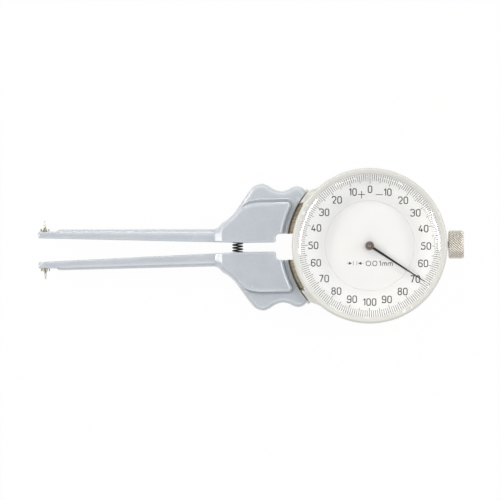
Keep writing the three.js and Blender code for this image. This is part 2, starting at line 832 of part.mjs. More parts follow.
// A round wire along the spring's points, one unbroken tube.
function returnSpring() {
  const alongAxis = new THREE.Vector3(0, 1, 0);
  const rings = springPoints().map((point) => {
    const outward = new THREE.Vector3(point.x, 0, point.z).normalize();
    return Array.from({ length: springSides }, (_, j) => {
      const angle = (2 * Math.PI * j) / springSides;
      return point
        .clone()
        .addScaledVector(outward, (springWire / 2) * Math.cos(angle))
        .addScaledVector(alongAxis, (springWire / 2) * Math.sin(angle));
    });
  });
  return closed(skin(rings));
}

// The least gap between the wire's turns, measured on points of its middle line.
function springSelfGap() {
  const points = springPoints();
  let least = Infinity;
  for (let i = 0; i < points.length; i++)
    for (let j = i + springStepsPerTurn / 2; j < points.length; j++)
      least = Math.min(least, points[i].distanceTo(points[j]));
  return least - springWire;
}

// Case

// The neck ears beside the grips, under the bezel.
function neckEar() {
  const neckStart = Math.PI - Math.asin(neckInnerOut / neckRadius);
  const corner = Math.PI - neckCornerAngle;
  const blend = Math.PI - neckBlendAngle;
  const inside = caseRadius - caseWall / 2;
  const insideStart = Math.PI - Math.asin(neckInnerOut / inside);
  return plate(
    [
      ...arcPoints(centre, neckRadius, neckStart, corner, cornerSteps),
      polar(bezelRadius - flangeInset, blend),
      ...arcPoints(centre, inside, blend, insideStart, cornerSteps),
    ],
    coverThickness,
    flangeTop,
  );
}

function caseBody() {
  const flangeRadius = bezelRadius - flangeInset;
  const shell = turned(
    [
      [caseBore, coverThickness],
      [caseRadius, coverThickness],
      [caseRadius, flangeLow],
      [flangeRadius, flangeLow + flangeHeight / 2],
      [flangeRadius, flangeTop],
      [caseRadius, flangeTop],
      [caseRadius, caseTop],
      [caseBore, caseTop],
    ],
    ringSides,
  );
  const bosses = baseScrewAngles.map((angle) =>
    common(
      disc(bossRadius, baseTop, highWheelTop, smallSides, polar(baseScrewRadius + seam, angle)),
      disc(caseBore + caseWall / 2, 0, caseTop, discSides),
    ),
  );
  const slotLength = gripArcRadius - pivotReach / 2;
  const slotHeight = leverThickness + 2 * slotClearance;
  const slot = new THREE.BoxGeometry(slotLength, 2 * slotHalfWidth, slotHeight);
  slot.translate(slotLength / 2 - gripArcRadius, 0, (leverLow + leverTop) / 2);
  const stemHole = bar(
    bushShankRadius + seatFit,
    new THREE.Vector3(caseBore - overrun, 0, stemHeight),
    new THREE.Vector3(bezelRadius, 0, stemHeight),
    smallSides,
  );
  return cut(
    join(shell, neckEar(), mirrored(neckEar()), ...bosses),
    slot,
    stemHole,
    ...coverScrewAngles.map((angle) =>
      screwHole(coverScrew, 0, slotDepth + coverScrew.length, polar(coverScrewRadius, angle)),
    ),
    ...baseScrewAngles.map((angle) =>
      screwHole(baseScrew, 0, baseLow + baseScrew.length + faceGap, polar(baseScrewRadius, angle)),
    ),
  );
}

function backCover() {
  const recess = sideGap + coverScrew.headHeight;
  return cut(
    turned(
      [
        [0, 0],
        [caseRadius - coverEdge, 0],
        [caseRadius, coverEdge],
        [caseRadius, coverThickness],
        [0, coverThickness],
      ],
      ringSides,
    ),
    ...coverScrewAngles.flatMap((angle) => {
      const middle = polar(coverScrewRadius, angle);
      return [
        disc(coverScrew.head + seatFit, -overrun, recess, smallSides, middle),
        screwHole(coverScrew, 0, coverThickness + overrun, middle),
      ];
    }),
  );
}

function bezel() {
  const lipEdge = bezelLip * 0.3;
  const bottom = flangeTop + sideGap;
  return turned(
    [
      [bezelBore, bottom],
      [bezelRadius - flangeInset, bottom],
      [bezelRadius, bottom + flangeInset],
      [bezelRadius, bezelTop - bezelRound * 1.6],
      [bezelRadius - bezelRound * 0.3, bezelTop - bezelRound * 0.7],
      [bezelRadius - bezelRound, bezelTop - bezelRound * 0.2],
      [bezelRadius - bezelRound * 1.8, bezelTop],
      [bezelOpening + lipEdge * 0.5, bezelTop - lipEdge * 0.3],
      [bezelOpening, bezelTop - lipEdge],
      [bezelOpening, lipLevel],
      [bezelBore, lipLevel],
    ],
    ringSides,
  );
}

// The crystal: a flat rim under the bezel's lip and a crowned window standing through it.
function crystal() {
  const rim = bezelBore - sideGap;
  const window = bezelOpening - sideGap;
  const shoulder = lipLevel + crystalCrown * 0.4;
  const edge = window - crystalEdgeWidth;
  const under = crystalLow + crystalCrown * 0.2;
  return turned(
    [
      [0, under],
      [edge, under],
      [window, crystalLow],
      [rim, crystalLow],
      [rim, lipLevel],
      [window, lipLevel],
      [window - crystalEdgeWidth * 0.1, shoulder],
      [window - crystalEdgeWidth * 0.4, lipLevel + crystalCrown * 0.75],
      [edge, lipLevel + crystalCrown * 0.93],
      [0, lipLevel + crystalCrown],
    ],
    ringSides,
  );
}

function crystalGasket() {
  return ring(bezelOpening + sideGap, bezelBore - sideGap, gasketLow, crystalLow, discSides);
}

function dialRetainingRing() {
  return ring(bezelOpening, bezelBore - sideGap, retainerLow, gasketLow, discSides);
}

function dialPlate() {
  return ring(dialBore, dialRadius, dialLow, dialTop, discSides);
}

// One radial tooth of the crown gear, its middle at an angle. Its flanks keep their share of the pitch.
function crownTooth(angle) {
  const half = Math.PI / crownTeeth;
  const section = [
    [-toothRootShare, crownRootLevel + seam],
    [-toothRootShare, crownRootLevel],
    [-toothTipShare, crownTipLevel],
    [toothTipShare, crownTipLevel],
    [toothRootShare, crownRootLevel],
    [toothRootShare, crownRootLevel + seam],
  ];
  return skin(
    [crownInnerRadius, crownOuterRadius].map((radius) =>
      section.map(([share, level]) => {
        const spot = polar(radius, angle + share * half);
        return new THREE.Vector3(spot.x, spot.y, level);
      }),
    ),
  );
}

// The ring under the dial, with radial crown teeth on its lower face.
function dialCarrier() {
  const pitch = (2 * Math.PI) / crownTeeth;
  const teeth = Array.from({ length: crownTeeth }, (_, i) => crownTooth((i + 0.5) * pitch));
  return join(ring(carrierBore, carrierRadius, crownRootLevel, dialLow, discSides), ...teeth);
}

// Knob and its stem, along +X at the stem's height

// A ring of points about the knob's axis. Where a parity is given, its points are sunk into the knurl.
function knobRing(x, radius, sunkParity) {
  return Array.from({ length: knurlCount }, (_, i) => {
    const angle = (2 * Math.PI * i) / knurlCount;
    const reach = i % 2 === sunkParity ? radius - knurlDepth : radius;
    return new THREE.Vector3(x, reach * Math.cos(angle), stemHeight + reach * Math.sin(angle));
  });
}

function knob() {
  const start = bezelRadius + knobGap;
  const end = start + knobLength;
  const knurlStart = start + knobRound;
  const knurlEnd = end - knobRound;
  const rows = Array.from({ length: knurlRows }, (_, i) => {
    const x = THREE.MathUtils.lerp(knurlStart, knurlEnd, i / (knurlRows - 1));
    return knobRing(x, knobRadius, i % 2);
  });
  const body = skin([
    knobRing(start, knobRadius - knobRound),
    knobRing(start + knobRound / 2, knobRadius - knurlDepth),
    ...rows,
    knobRing(end - knobRound / 2, knobRadius - knurlDepth),
    knobRing(end, knobRadius - knobRound),
  ]);
  const bore = bar(
    stemRadius + seatFit,
    new THREE.Vector3(start - overrun, 0, stemHeight),
    new THREE.Vector3(start + stemInKnob + faceGap, 0, stemHeight),
    smallSides,
  );
  return cut(body, bore);
}

function knobStem() {
  const tipRadius = stemPinionRadius + addendumShare * crownModule;
  const pinionEnd = Math.sqrt(caseBore ** 2 - tipRadius ** 2) - 2 * sideGap;
  const pinion = plate(toothPoints(stemPinionTeeth, crownModule, 0), 0, stemPinionFace);
  pinion.rotateY(Math.PI / 2).translate(pinionEnd - stemPinionFace, 0, stemHeight);
  const stem = bar(
    stemRadius,
    new THREE.Vector3(pinionEnd - stemPinionFace - faceGap, 0, stemHeight),
    new THREE.Vector3(bezelRadius + knobGap + stemInKnob, 0, stemHeight),
    smallSides,
  );
  return join(stem, pinion);
}

function knobBush() {
  const head = bar(
    bushHeadRadius,
    new THREE.Vector3(caseRadius + seam, 0, stemHeight),
    new THREE.Vector3(bezelRadius - seam, 0, stemHeight),
    smallSides,
  );
  const shank = bar(
    bushShankRadius,
    new THREE.Vector3(caseBore + sideGap, 0, stemHeight),
    new THREE.Vector3(caseRadius + flangeInset, 0, stemHeight),
    smallSides,
  );
  const bore = bar(
    stemRadius + runningFit,
    new THREE.Vector3(caseBore - overrun, 0, stemHeight),
    new THREE.Vector3(bezelRadius + overrun, 0, stemHeight),
    smallSides,
  );
  return cut(join(head, shank), bore);
}

// Movement

function basePlate() {
  const holes = [
    ...arborAxes.map((axis) => disc(arborRadius + runningFit, 0, baseTop + overrun, smallSides, axis)),
    ...[upperPivot, lowerPivot].map((axis) =>
      disc(pivotRadius + seatFit, 0, baseTop + overrun, pivotSides, axis),
    ),
    ...[openStop, closeStop].map((axis) =>
      disc(stopRadius + seatFit, 0, baseTop + overrun, smallSides, axis),
    ),
  ];
  const screws = baseScrewAngles.flatMap((angle) => {
    const middle = polar(baseScrewRadius, angle);
    return [
      disc(baseScrew.head + seatFit, 0, baseLow + baseScrew.headHeight, smallSides, middle),
      screwHole(baseScrew, 0, baseTop + overrun, middle),
    ];
  });
  return cut(disc(baseRadius, baseLow, baseTop, discSides), ...holes, ...screws);
}

function bridgePlate() {
  const flatX = crownInnerRadius - stemPinionFace;
  const radius = carrierBore + stemPinionFace / 2;
  const flatAngle = Math.acos(flatX / radius);
  const outline = arcPoints(centre, radius, flatAngle, 2 * Math.PI - flatAngle, discSides);
  const holes = [
    ...arborAxes.map((axis) =>
      disc(arborRadius + runningFit, bridgeLow - overrun, bridgeTop + overrun, smallSides, axis),
    ),
    ...[upperPivot, lowerPivot].map((axis) =>
      disc(pivotRadius + seatFit, bridgeLow - overrun, bridgeTop + overrun, pivotSides, axis),
    ),
    ...pillarAxes.map((axis) => screwHole(bridgeScrew, 0, bridgeTop + overrun, axis)),
  ];
  return cut(plate(outline, bridgeLow, bridgeTop), ...holes);
}

function pillar() {
  const depth = bridgeScrew.length - bridgeScrew.headHeight - bridgeThickness + faceGap;
  return cut(
    disc(pillarRadius, baseTop, bridgeLow, smallSides),
    screwHole(bridgeScrew, bridgeLow - depth, bridgeLow + overrun, centre),
  );
}

const firstPhase = meshedPhase(sectorTeeth, 0, pinionTeeth, 0);
const secondPhase = meshedPhase(firstWheelTeeth, 0, pinionTeeth, direction(firstAxis, secondAxis));
const centrePhase = meshedPhase(secondWheelTeeth, 0, pinionTeeth, direction(secondAxis, centre));
const hairspringPhase = meshedPhase(
  pinionTeeth,
  centrePhase,
  secondWheelTeeth,
  direction(centre, hairspringAxis),
);

function firstPinion() {
  const low = leverLow - sideGap;
  const high = leverTop + sideGap;
  return pinionArbor(
    [
      [0, arborFoot],
      [arborRadius, arborFoot],
      [arborRadius, low],
      [2 * arborRadius, high],
      [2 * arborRadius, highWheelLow],
      [arborRadius, highWheelLow],
      [arborRadius, arborHead],
      [0, arborHead],
    ],
    sectorModule,
    firstPhase,
    low,
    high,
  );
}

function secondPinion() {
  const low = highWheelLow - sideGap;
  const high = highWheelTop + sideGap;
  return pinionArbor(
    [
      [0, arborFoot],
      [arborRadius, arborFoot],
      [arborRadius, lowWheelTop],
      [1.6 * arborRadius, lowWheelTop],
      [1.6 * arborRadius, low],
      [arborRadius, high],
      [arborRadius, arborHead],
      [0, arborHead],
    ],
    trainModule,
    secondPhase,
    low,
    high,
  );
}

function centreArbor() {
  const top = hubTop - pointerThickness;
  return pinionArbor(
    [[0, arborFoot], [arborRadius, arborFoot], [arborRadius, top], [0, top]],
    trainModule,
    centrePhase,
    lowWheelLow - sideGap,
    lowWheelTop + sideGap,
  );
}

function hairspringArbor() {
  return turned(
    [
      [0, arborFoot],
      [arborRadius, arborFoot],
      [arborRadius, lowWheelTop],
      [1.6 * arborRadius, lowWheelTop],
      [1.6 * arborRadius, leverTop],
      [colletRadius, leverTop],
      [colletRadius, highWheelTop],
      [arborRadius, highWheelTop],
      [arborRadius, arborHead],
      [0, arborHead],
    ],
    smallSides,
  );
}

// Radius of the hairspring's middle line after some turns.
function hairspringRadius(turns) {
  return colletRadius + 2 * sideGap + hairspringWire + turns * hairspringPitch;
}

function hairspring() {
  const steps = hairspringTurns * hairspringStepsPerTurn;
  const low = (highWheelLow + highWheelTop - hairspringHeight) / 2;
  const rings = Array.from({ length: steps + 1 }, (_, i) => {
    const angle = (2 * Math.PI * i) / hairspringStepsPerTurn;
    const middle = hairspringRadius(i / hairspringStepsPerTurn);
    const corner = (radius, level) => {
      const spot = polar(radius, angle);
      return new THREE.Vector3(spot.x, spot.y, level);
    };
    const [inner, outer] = [middle - hairspringWire / 2, middle + hairspringWire / 2];
    const high = low + hairspringHeight;
    return [corner(inner, low), corner(outer, low), corner(outer, high), corner(inner, high)];
  });
  return closed(skin(rings));
}

function hairspringStud() {
  const end = polar(hairspringRadius(hairspringTurns), 2 * Math.PI * hairspringTurns);
  const out = end.clone().setLength(end.length() + hairspringWire / 2 + seam + arborRadius);
  return disc(arborRadius, highWheelLow - sideGap, bridgeLow, smallSides, out);
}

function pivotPin() {
  return disc(pivotRadius, baseLow + sideGap, bridgeTop - sideGap, pivotSides);
}

function stopPin() {
  return disc(stopRadius, baseLow + sideGap, leverTop + faceGap, smallSides);
}

function pointerHub() {
  const low = pointerLow - pointerHeight / 2;
  return cut(
    turned(
      [
        [0, low],
        [hubSleeveRadius, low],
        [hubSleeveRadius, pointerLow + pointerThickness],
        [hubRadius, pointerLow + pointerThickness],
        [hubRadius, hubTop - hubHeight * 0.3],
        [hubRadius * 0.88, hubTop],
        [0, hubTop],
      ],
      pivotSides,
    ),
    disc(arborRadius + seatFit, low - overrun, hubTop + overrun, smallSides),
  );
}

function pointerNeedle() {
  const blade = [
    new THREE.Vector2(0, -pointerWidth / 2),
    new THREE.Vector2(pointerReach * 0.98, -pointerTipWidth / 2),
    new THREE.Vector2(pointerReach, 0),
    new THREE.Vector2(pointerReach * 0.98, pointerTipWidth / 2),
    new THREE.Vector2(0, pointerWidth / 2),
  ];
  const low = pointerLow;
  const high = pointerLow + pointerThickness;
  return cut(
    join(disc(hubRadius * 0.9, low, high, pivotSides), plate(blade, low, high)),
    disc(hubSleeveRadius + seatFit, low - overrun, high + overrun, pivotSides),
  );
}

// Assembly

function piece(name, look, geometry, place = centre, level = 0, turn = 0) {
  const mesh = new THREE.Mesh(geometry, new THREE.MeshStandardMaterial(look));
  mesh.name = name;
  mesh.position.set(place.x, place.y, level);
  mesh.rotation.z = turn;
  return mesh;
}

function group(...members) {
  const made = new THREE.Group();
  made.add(...members);
  return made;
}

function armGroup(side) {
  const isUpper = side === "upper";
  const hand = (geometry) => (isUpper ? geometry : mirrored(geometry));
  const screwLow = leverLow - leverScrew.headHeight;
  return group(
    piece(`${side}_arm`, looks.castPaint, hand(armCasting())),
    piece(`${side}_lever_plate`, looks.bronze, hand(leverPlate(isUpper))),
    piece(`${side}_contact_pin`, looks.steel, hand(contactPin())),
    piece(`${side}_contact_collar`, looks.steel, hand(contactCollar())),
    ...leverScrewAxes.map((axis, i) => {
      const middle = new THREE.Vector2(axis.x, isUpper ? axis.y : -axis.y);
      const made = screw(leverScrew, -1);
      return piece(`${side}_lever_screw_${i + 1}`, looks.steel, made, middle, screwLow);
    }),
  );
}

function caseGroup() {
  return group(
    piece("case_body", looks.satinChrome, caseBody()),
    piece("back_cover", looks.satinChrome, backCover()),
    ...coverScrewAngles.map((angle, i) => {
      const middle = polar(coverScrewRadius, angle);
      return piece(`cover_screw_${i + 1}`, looks.steel, screw(coverScrew, -1), middle, sideGap);
    }),
    piece("bezel", looks.satinChrome, bezel()),
    piece("crystal", looks.crystal, crystal()),
    piece("crystal_gasket", looks.rubber, crystalGasket()),
    piece("dial_retaining_ring", looks.dialPaint, dialRetainingRing()),
    piece("knob_bush", looks.nickel, knobBush()),
    piece("return_spring", looks.springSteel, returnSpring(), at(springReach, 0), armMiddle),
  );
}

function frameGroup() {
  return group(
    piece("base_plate", looks.brass, basePlate()),
    ...baseScrewAngles.map((angle, i) => {
      const middle = polar(baseScrewRadius, angle);
      return piece(`base_screw_${i + 1}`, looks.steel, screw(baseScrew, -1), middle, baseLow);
    }),
    piece("bridge_plate", looks.brass, bridgePlate()),
    ...pillarAxes.map((axis, i) => piece(`bridge_pillar_${i + 1}`, looks.brass, pillar(), axis)),
    ...pillarAxes.map((axis, i) => {
      const headTop = bridgeTop + bridgeScrew.headHeight;
      return piece(`bridge_screw_${i + 1}`, looks.steel, screw(bridgeScrew, 1), axis, headTop);
    }),
    piece("upper_pivot_pin", looks.steel, pivotPin(), upperPivot),
    piece("lower_pivot_pin", looks.steel, pivotPin(), lowerPivot),
    piece("opening_stop_pin", looks.steel, stopPin(), openStop),
    piece("closing_stop_pin", looks.steel, stopPin(), closeStop),
    piece("hairspring", looks.blueSteel, hairspring(), hairspringAxis),
    piece("hairspring_stud", looks.brass, hairspringStud(), hairspringAxis),
  );
}

function dialGroup() {
  return group(
    piece("dial_plate", looks.dialPaint, dialPlate()),
    piece("dial_carrier", looks.brass, dialCarrier()),
  );
}

function knobGroup() {
  return group(
    piece("zero_knob", looks.nickel, knob()),
    piece("knob_stem", looks.steel, knobStem()),
  );
}

function trainGroup() {
  const bore = arborRadius + seatFit;
  return group(
    piece("first_pinion", looks.steel, firstPinion(), firstAxis),
    piece("first_wheel", looks.brass,
      wheel(firstWheelTeeth, trainModule, 0, highWheelLow, highWheelTop, bore), firstAxis),
    piece("second_pinion", looks.steel, secondPinion(), secondAxis),
    piece("second_wheel", looks.brass,
      wheel(secondWheelTeeth, trainModule, 0, lowWheelLow, lowWheelTop, bore), secondAxis),
    piece("hairspring_arbor", looks.steel, hairspringArbor(), hairspringAxis),
    piece("hairspring_wheel", looks.brass,
      wheel(secondWheelTeeth, trainModule, hairspringPhase, lowWheelLow, lowWheelTop, bore),
      hairspringAxis),
  );
}

function pointerGroup() {
  return group(
    piece("centre_arbor", looks.steel, centreArbor()),
    piece("pointer_hub", looks.hubMetal, pointerHub()),
    piece("pointer_needle", looks.blackPaint, pointerNeedle(), centre, 0, pointerAngle),
  );
}

console.log("return spring, least gap to itself:", springSelfGap().toFixed(2), "mm");

const gauge = group(
  caseGroup(),
  frameGroup(),
  dialGroup(),
  knobGroup(),
  trainGroup(),
  pointerGroup(),
  armGroup("upper"),
  armGroup("lower"),
);
gauge.name = "dial_caliper_gauge";

export default gauge;
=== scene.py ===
"""The looks of an internal dial caliper gauge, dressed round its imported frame.

Sizes are in millimetres, in the frame's own axes: the dial axis is Z, the arms reach along -X
and the knob along +X. plain_object turns them into metres.
"""

import math

import bpy
import numpy as np
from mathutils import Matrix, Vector, kdtree
from mathutils.geometry import delaunay_2d_cdt


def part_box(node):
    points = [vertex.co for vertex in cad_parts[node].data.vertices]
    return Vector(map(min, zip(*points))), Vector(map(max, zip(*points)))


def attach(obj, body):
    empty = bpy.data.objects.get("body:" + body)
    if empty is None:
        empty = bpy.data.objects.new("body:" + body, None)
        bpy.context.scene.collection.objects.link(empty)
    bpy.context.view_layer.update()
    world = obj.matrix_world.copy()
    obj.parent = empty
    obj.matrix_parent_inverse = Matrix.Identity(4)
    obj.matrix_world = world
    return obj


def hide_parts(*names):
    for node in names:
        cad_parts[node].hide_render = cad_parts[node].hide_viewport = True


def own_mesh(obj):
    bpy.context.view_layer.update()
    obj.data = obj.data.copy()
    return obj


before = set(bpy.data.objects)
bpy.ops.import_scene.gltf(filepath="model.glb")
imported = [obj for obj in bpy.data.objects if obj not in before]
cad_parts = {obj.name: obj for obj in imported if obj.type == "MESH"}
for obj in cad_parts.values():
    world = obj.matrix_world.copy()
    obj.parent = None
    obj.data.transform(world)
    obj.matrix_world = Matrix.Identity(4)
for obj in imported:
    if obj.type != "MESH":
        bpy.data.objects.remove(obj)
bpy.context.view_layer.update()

MM = 0.001
TAU = 2 * math.pi
TINY = 1e-12
BATCH = 2000

# Curves and meshes
LARGEST_FILLET_SHARE = 0.48
STRAIGHT_ANGLE = 0.01
LEAST_MITRE = 0.5
SHARP_ANGLE = 32
ROUND_STEPS = 192
CASE_STEPS = 240

# The photograph's view: straight down on the dial, with a long lens
PHOTO_SIDE = 500
PHOTO_MM_PER_PIXEL = 0.3704
PHOTO_DIAL_CENTRE = (369.7, 245.7)
PHOTO_TURN = math.radians(0.78)
CAMERA_HEIGHT = 600

# Dial, case and bezel
BEZEL_RADIUS = 29
BEZEL_OPENING = 26.55
BEZEL_BORE = 27.9
BEZEL_TEETH = 200
BEZEL_TOOTH_DEPTH = 0.45
CASE_RADIUS = 27.8
CASE_BORE = 24.9
FLANGE_RADIUS = 28.45
FLANGE_LEVELS = (10.51, 11.11, 11.71)
CASE_TOP = 13.36
COVER_THICKNESS = 1.8
BEZEL_LOW = 11.81
LIP_LEVEL = 18.46
BEZEL_TOP = 20.46
DIAL_LEVELS = (13.66, 14.26)
DIAL_RADIUS = 26.9
DIAL_STEP_RADIUS = 16.65
DIAL_STEP = 0.1
DIAL_GROOVE = (0.38, 0.36)
DIAL_BORE = 1.2
RETAINER_LEVELS = (14.56, 16.66)
CRYSTAL_LOW = 17.26
CRYSTAL_TOP = 20.86
CRYSTAL_EDGE = 1.4
CRYSTAL_CHAMFER = (1.15, 0.757)
COVER_SCREW_RADIUS = 26.06
COVER_SCREW_ANGLES = (45, 135, 225, 315)
COVER_HOLE = (1.2, 0.95)
COVER_RINGS = (12, 20, 24)
# A screw's head radius and height
COVER_SCREW = (1.1, 0.8)
LEVER_SCREW = (1.6, 1.3)
SCREW_SHANK_RADIUS = 0.7
SCREW_SHANK_LENGTH = 1.5
SCREW_SLOT = (-3, 3, -0.2, 0.2, -1, 0.3)
NECK_PAST_GRIP = math.radians(1.6)
NECK_BLEND_SPAN = math.radians(13.9)

# Arms and grips
ARM_REACH = 122.8
ARM_GAP = 1.65
ARM_ROOT_WIDTH = 4.9
ARM_TIP_WIDTH = 3.3
ARM_TIP_THICKNESS = 4.6
ARM_OPEN = math.radians(2.04)
ARM_MIDDLE = 6.4
BOSS_LENGTH = 6.8
BOSS_STEP = 0.75
BOSS_ROUND = 0.75
GRIP_REACH = 57.7
GRIP_HALF_WIDTH = 23.5
GRIP_ROUND = 1.8
SLENDER_ROUND_SHARES = (0.5, 0.42)
ROUND_BLEND = (50, 8)
GRIP_LOW = 3.0
GRIP_TOP = 9.8
GRIP_ARC = 30.6
GRIP_CORNER_SHARE = 0.8
GRIP_EDGE_SHARES = (
    (0.957, 0.033), (0.914, 0.125), (0.85, 0.216), (0.787, 0.336), (0.726, 0.511),
    (0.669, 0.679), (0.614, 0.837), (0.563, 0.946), (0.486, 1), (0.422, 0.963),
    (0.352, 0.874), (0.28, 0.828), (0.207, 0.855), (0.152, 0.915), (0.099, 0.933),
    (0.046, 0.891),
)
TAPER_REACH = 47
RELIEF_OUT = 4.8
RELIEF_REACH = 34.7
RELIEF_RADIUS = 1.3
RELIEF_LIP = 0.9
PANEL_HEIGHT = 1.8
PANEL_BEVEL = 0.9
PANEL_EDGE = 1.3
PANEL_SHOULDER = 0.5
# The bevel as shares of its width and height: a steep foot, then two gentler slopes
PANEL_PROFILE = ((0, 0), (0.2, 0.765), (0.59, 0.942), (1, 1))
PANEL_OUT = 16.85
PANEL_ARC = 32.4
PANEL_CORNER = 1.6
PANEL_BEND_SHARES = ((0.79, 0.75), (0.69, 0.865), (0.56, 0.963), (0.42, 1))
RAMP_LENGTH = 2.5
RIM_MIDDLE = 0.86
RIM_HALF_WIDTH = 0.42
RIM_HEIGHT = 0.3
GROOVE_MIDDLE = 0.18
GROOVE_HALF_WIDTH = 0.18
GROOVE_DEPTH = 0.28
# Offsets of the rows of points along the panel's edge
EDGE_ROWS = (
    -1.4, -1.28, -1.18, -1.08, -0.97, -0.86, -0.75, -0.64, -0.53, -0.43, -0.32, -0.2, -0.08, 0,
    0.1, 0.18, 0.26, 0.36, 0.48, 0.62, 0.77, 0.92, 1.07, 1.3, 1.5, 1.8, 2, 2.3,
)
HARD_EDGE = 0.3
DRAFT = 0.15
DRAFT_SHARE = 0.25
EDGE_DROP_SHARE = 0.45
PIVOT_REACH = 19.92
TONGUE_END = 41.5
TONGUE_OUT = 15.9
LEVER_TOP = 7.0
LEVER_SLOT_LEVELS = (4.6, 7.4)
POCKET_PLAY = 0.1

# Rows of points across the arms' rounded edges and ramp, and their spacing elsewhere
SOFT_ROW_ANGLES = (20, 35, 50, 65, 78, 90)
HARD_ROW_ANGLES = (0, 35, 60, 90)
RAMP_ROW_SHARES = (-0.15, 0, 0.12, 0.3, 0.5, 0.7, 0.88, 1, 1.15)
RAMP_SPACING = 0.5
PLAN_START = 22
PLAN_WIDTH = 24
PLAN_SPACING = 0.9
LEAST_SPACING = 0.05
OFFSET_SLACK = 0.03
HARD_CLEARANCE = 0.65
EDGE_CLEARANCE = 1.5
SOFT_CLEARANCE = 0.1

# Return spring, contact pins, knob and pointer
SPRING_REACH = 48.9
SPRING_RADIUS = 1.8
SPRING_WIRE = 0.52
SPRING_TURNS = 5.2
SPRING_HALF = 2.77
SPRING_SEAT = (2.48, 1.5)
SPRING_STEPS = 28
CONTACT_REACH = 120.2
CONTACT_LIFT = 0.05
PIN_PROFILE = (
    (0, -1.8), (0.8, -1.8), (0.8, 0.45), (0.46, 0.62), (0.4, 2.4), (0.24, 3.7), (0.12, 3.88),
    (0, 3.88),
)
PIN_ROUNDS = (0, 0, 0.1, 0.1, 0.3, 0.1, 0.05, 0)
COLLAR_RADII = (0.87, 1.7)
COLLAR_HEIGHT = 0.9
COLLAR_ROUND = 0.14
COLLAR_SLOT = (0.86, 1.28, 0.1, 2, -3, 3)
KNOB_START = 29.15
KNOB_END = 34.9
KNOB_RADIUS = 5.3
KNOB_ROUND = 0.85
KNOB_AXIS_LEVEL = 8.0
KNOB_DISH_DEPTH = 0.12
KNOB_DISH_RINGS = (1.6, 1.68, 2, 2.5, 3.3, 4.3)
KNURL_COUNT = 34
KNURL_LEAD = 1.03
KNURL_DEPTH = 0.28
KNURL_LESSER_SHARE = 0.45
KNURL_POINT_SHARE = 0.15
KNURL_FADES = (0.35, 0.5)
KNURL_SPACING = 0.09
POINTER_REACH = 24.4
POINTER_ANGLE = math.radians(-33.8)
POINTER_LEVELS = (15.26, 15.46)
NEEDLE_HALVES = ((0.9, 0.5), (POINTER_REACH * 0.55, 0.34), (POINTER_REACH - 0.4, 0.13))
HUB_RADIUS = 1.63
HUB_TOP = 16.46

# Dial print
PRINT_LEVELS = (DIAL_LEVELS[1], DIAL_LEVELS[1] + 0.02)
PRINT_TURN = math.radians(-1.1)
# Ticks by the number of divisions they stand for
TICK_OUTER = 26.0
TICK_INNERS = {10: 22.95, 5: 23.3, 1: 23.9}
TICK_WIDTHS = {10: 0.16, 5: 0.16, 1: 0.15}
NUMBER_RADIUS = 20.8
NUMBER_HEIGHT = 2.8
NUMBER_STROKE = 0.36
NUMBER_GAP = 0.34
SIGNS = (("+", -3.1), ("-", 3.42))
SIGN_LEVEL = 18.85
SIGN_HEIGHT = 2.9
SIGN_STROKE = 0.26
DIVISIONS = 200
# Each letter with its place and its share of the usual width
READING = (
    ("0", -0.45, 1.85), (".", 0.8, 1), ("0", 1.95, 1.7), ("1", 3.75, 1.2), ("m", 5.5, 1.3),
    ("m", 7.65, 1.3),
)
READING_LEVEL = -6.55
READING_HEIGHT = 1.95
READING_STROKE = 0.25
READING_DOT = 0.32
MARK_BARS = (-6.0, -4.75)
MARK_ARROWS = ((-6.45, -8.5), (-4.3, -2.25))
ARROW_LENGTH = 1.25
ARROW_HALF = 0.58

# Finishes: sizes, how much paler worn edges are, the radii across which the dial's paint turns
# paler towards its edge as painted light against the bezel's shade, and the number of turns after
# which light counts as trapped in the crystal
CLOUD_SIZE = 9.0
EDGE_LIGHT = 1.24
FLAKE_SIZE = 0.22
DIAL_PALER_RADII = (17.5 * MM, 22 * MM)
TRAPPED_DEPTH = 3.5
WHITE = (1, 1, 1, 1)

# Light and floor
LOW_SKY = 0.47
MIDDLE_SKY = 0.49
HIGH_SKY = 0.97
OVERHEAD_SHARE = 0.2
WARM_TINT = (1, 0.965, 0.89, 1)
COOL_TINT = (0.975, 0.985, 1, 1)
LAMP_TINT = (1, 0.985, 0.95)
CREAM_TINT = (1.0, 0.965, 0.9)
LAMP_DISTANCE = 600
LAMP_TARGET = (0, 0, 10)
# Azimuth, elevation, size, radiance, and the tint where it isn't the usual one
LAMPS = (
    ("left_strip", 162, 24.2, (500, 34), 25, CREAM_TINT),
    ("right_strip", 12, 24.2, (330, 36), 20),
    ("high_box", 18, 68, (300, 70), 7.5),
    ("back_box", 90, 46, (500, 160), 0.3),
    ("back_strip", 90, 28, (600, 40), 9),
    ("front_box", 270, 42, (500, 220), 1.2),
)
FLOOR_HALF = 3000
FLOOR_LEVEL = -0.05
FLOOR_GLOW = 0.97


# Plane curves

def polar(radius, angle):
    return np.array((radius * math.cos(angle), radius * math.sin(angle)))


def at(reach, out):
    return np.array((-reach, out), float)


def unit(way):
    return way / np.linalg.norm(way)


def arc(middle, radius, start, end, steps):
    return [np.asarray(middle) + polar(radius, a) for a in np.linspace(start, end, steps + 1)]


def spline(knots, steps):
    """A uniform Catmull-Rom curve through the knots."""
    knots = [np.asarray(k, float) for k in knots]
    padded = [knots[0], *knots, knots[-1]]
    made = []
    for p0, p1, p2, p3 in zip(padded, padded[1:], padded[2:], padded[3:]):
        for t in np.arange(steps) / steps:
            v0, v1 = (p2 - p0) / 2, (p3 - p1) / 2
            a = 2 * p1 - 2 * p2 + v0 + v1
            b = -3 * p1 + 3 * p2 - 2 * v0 - v1
            made.append(a * t**3 + b * t**2 + v0 * t + p1)
    return made + [knots[-1]]


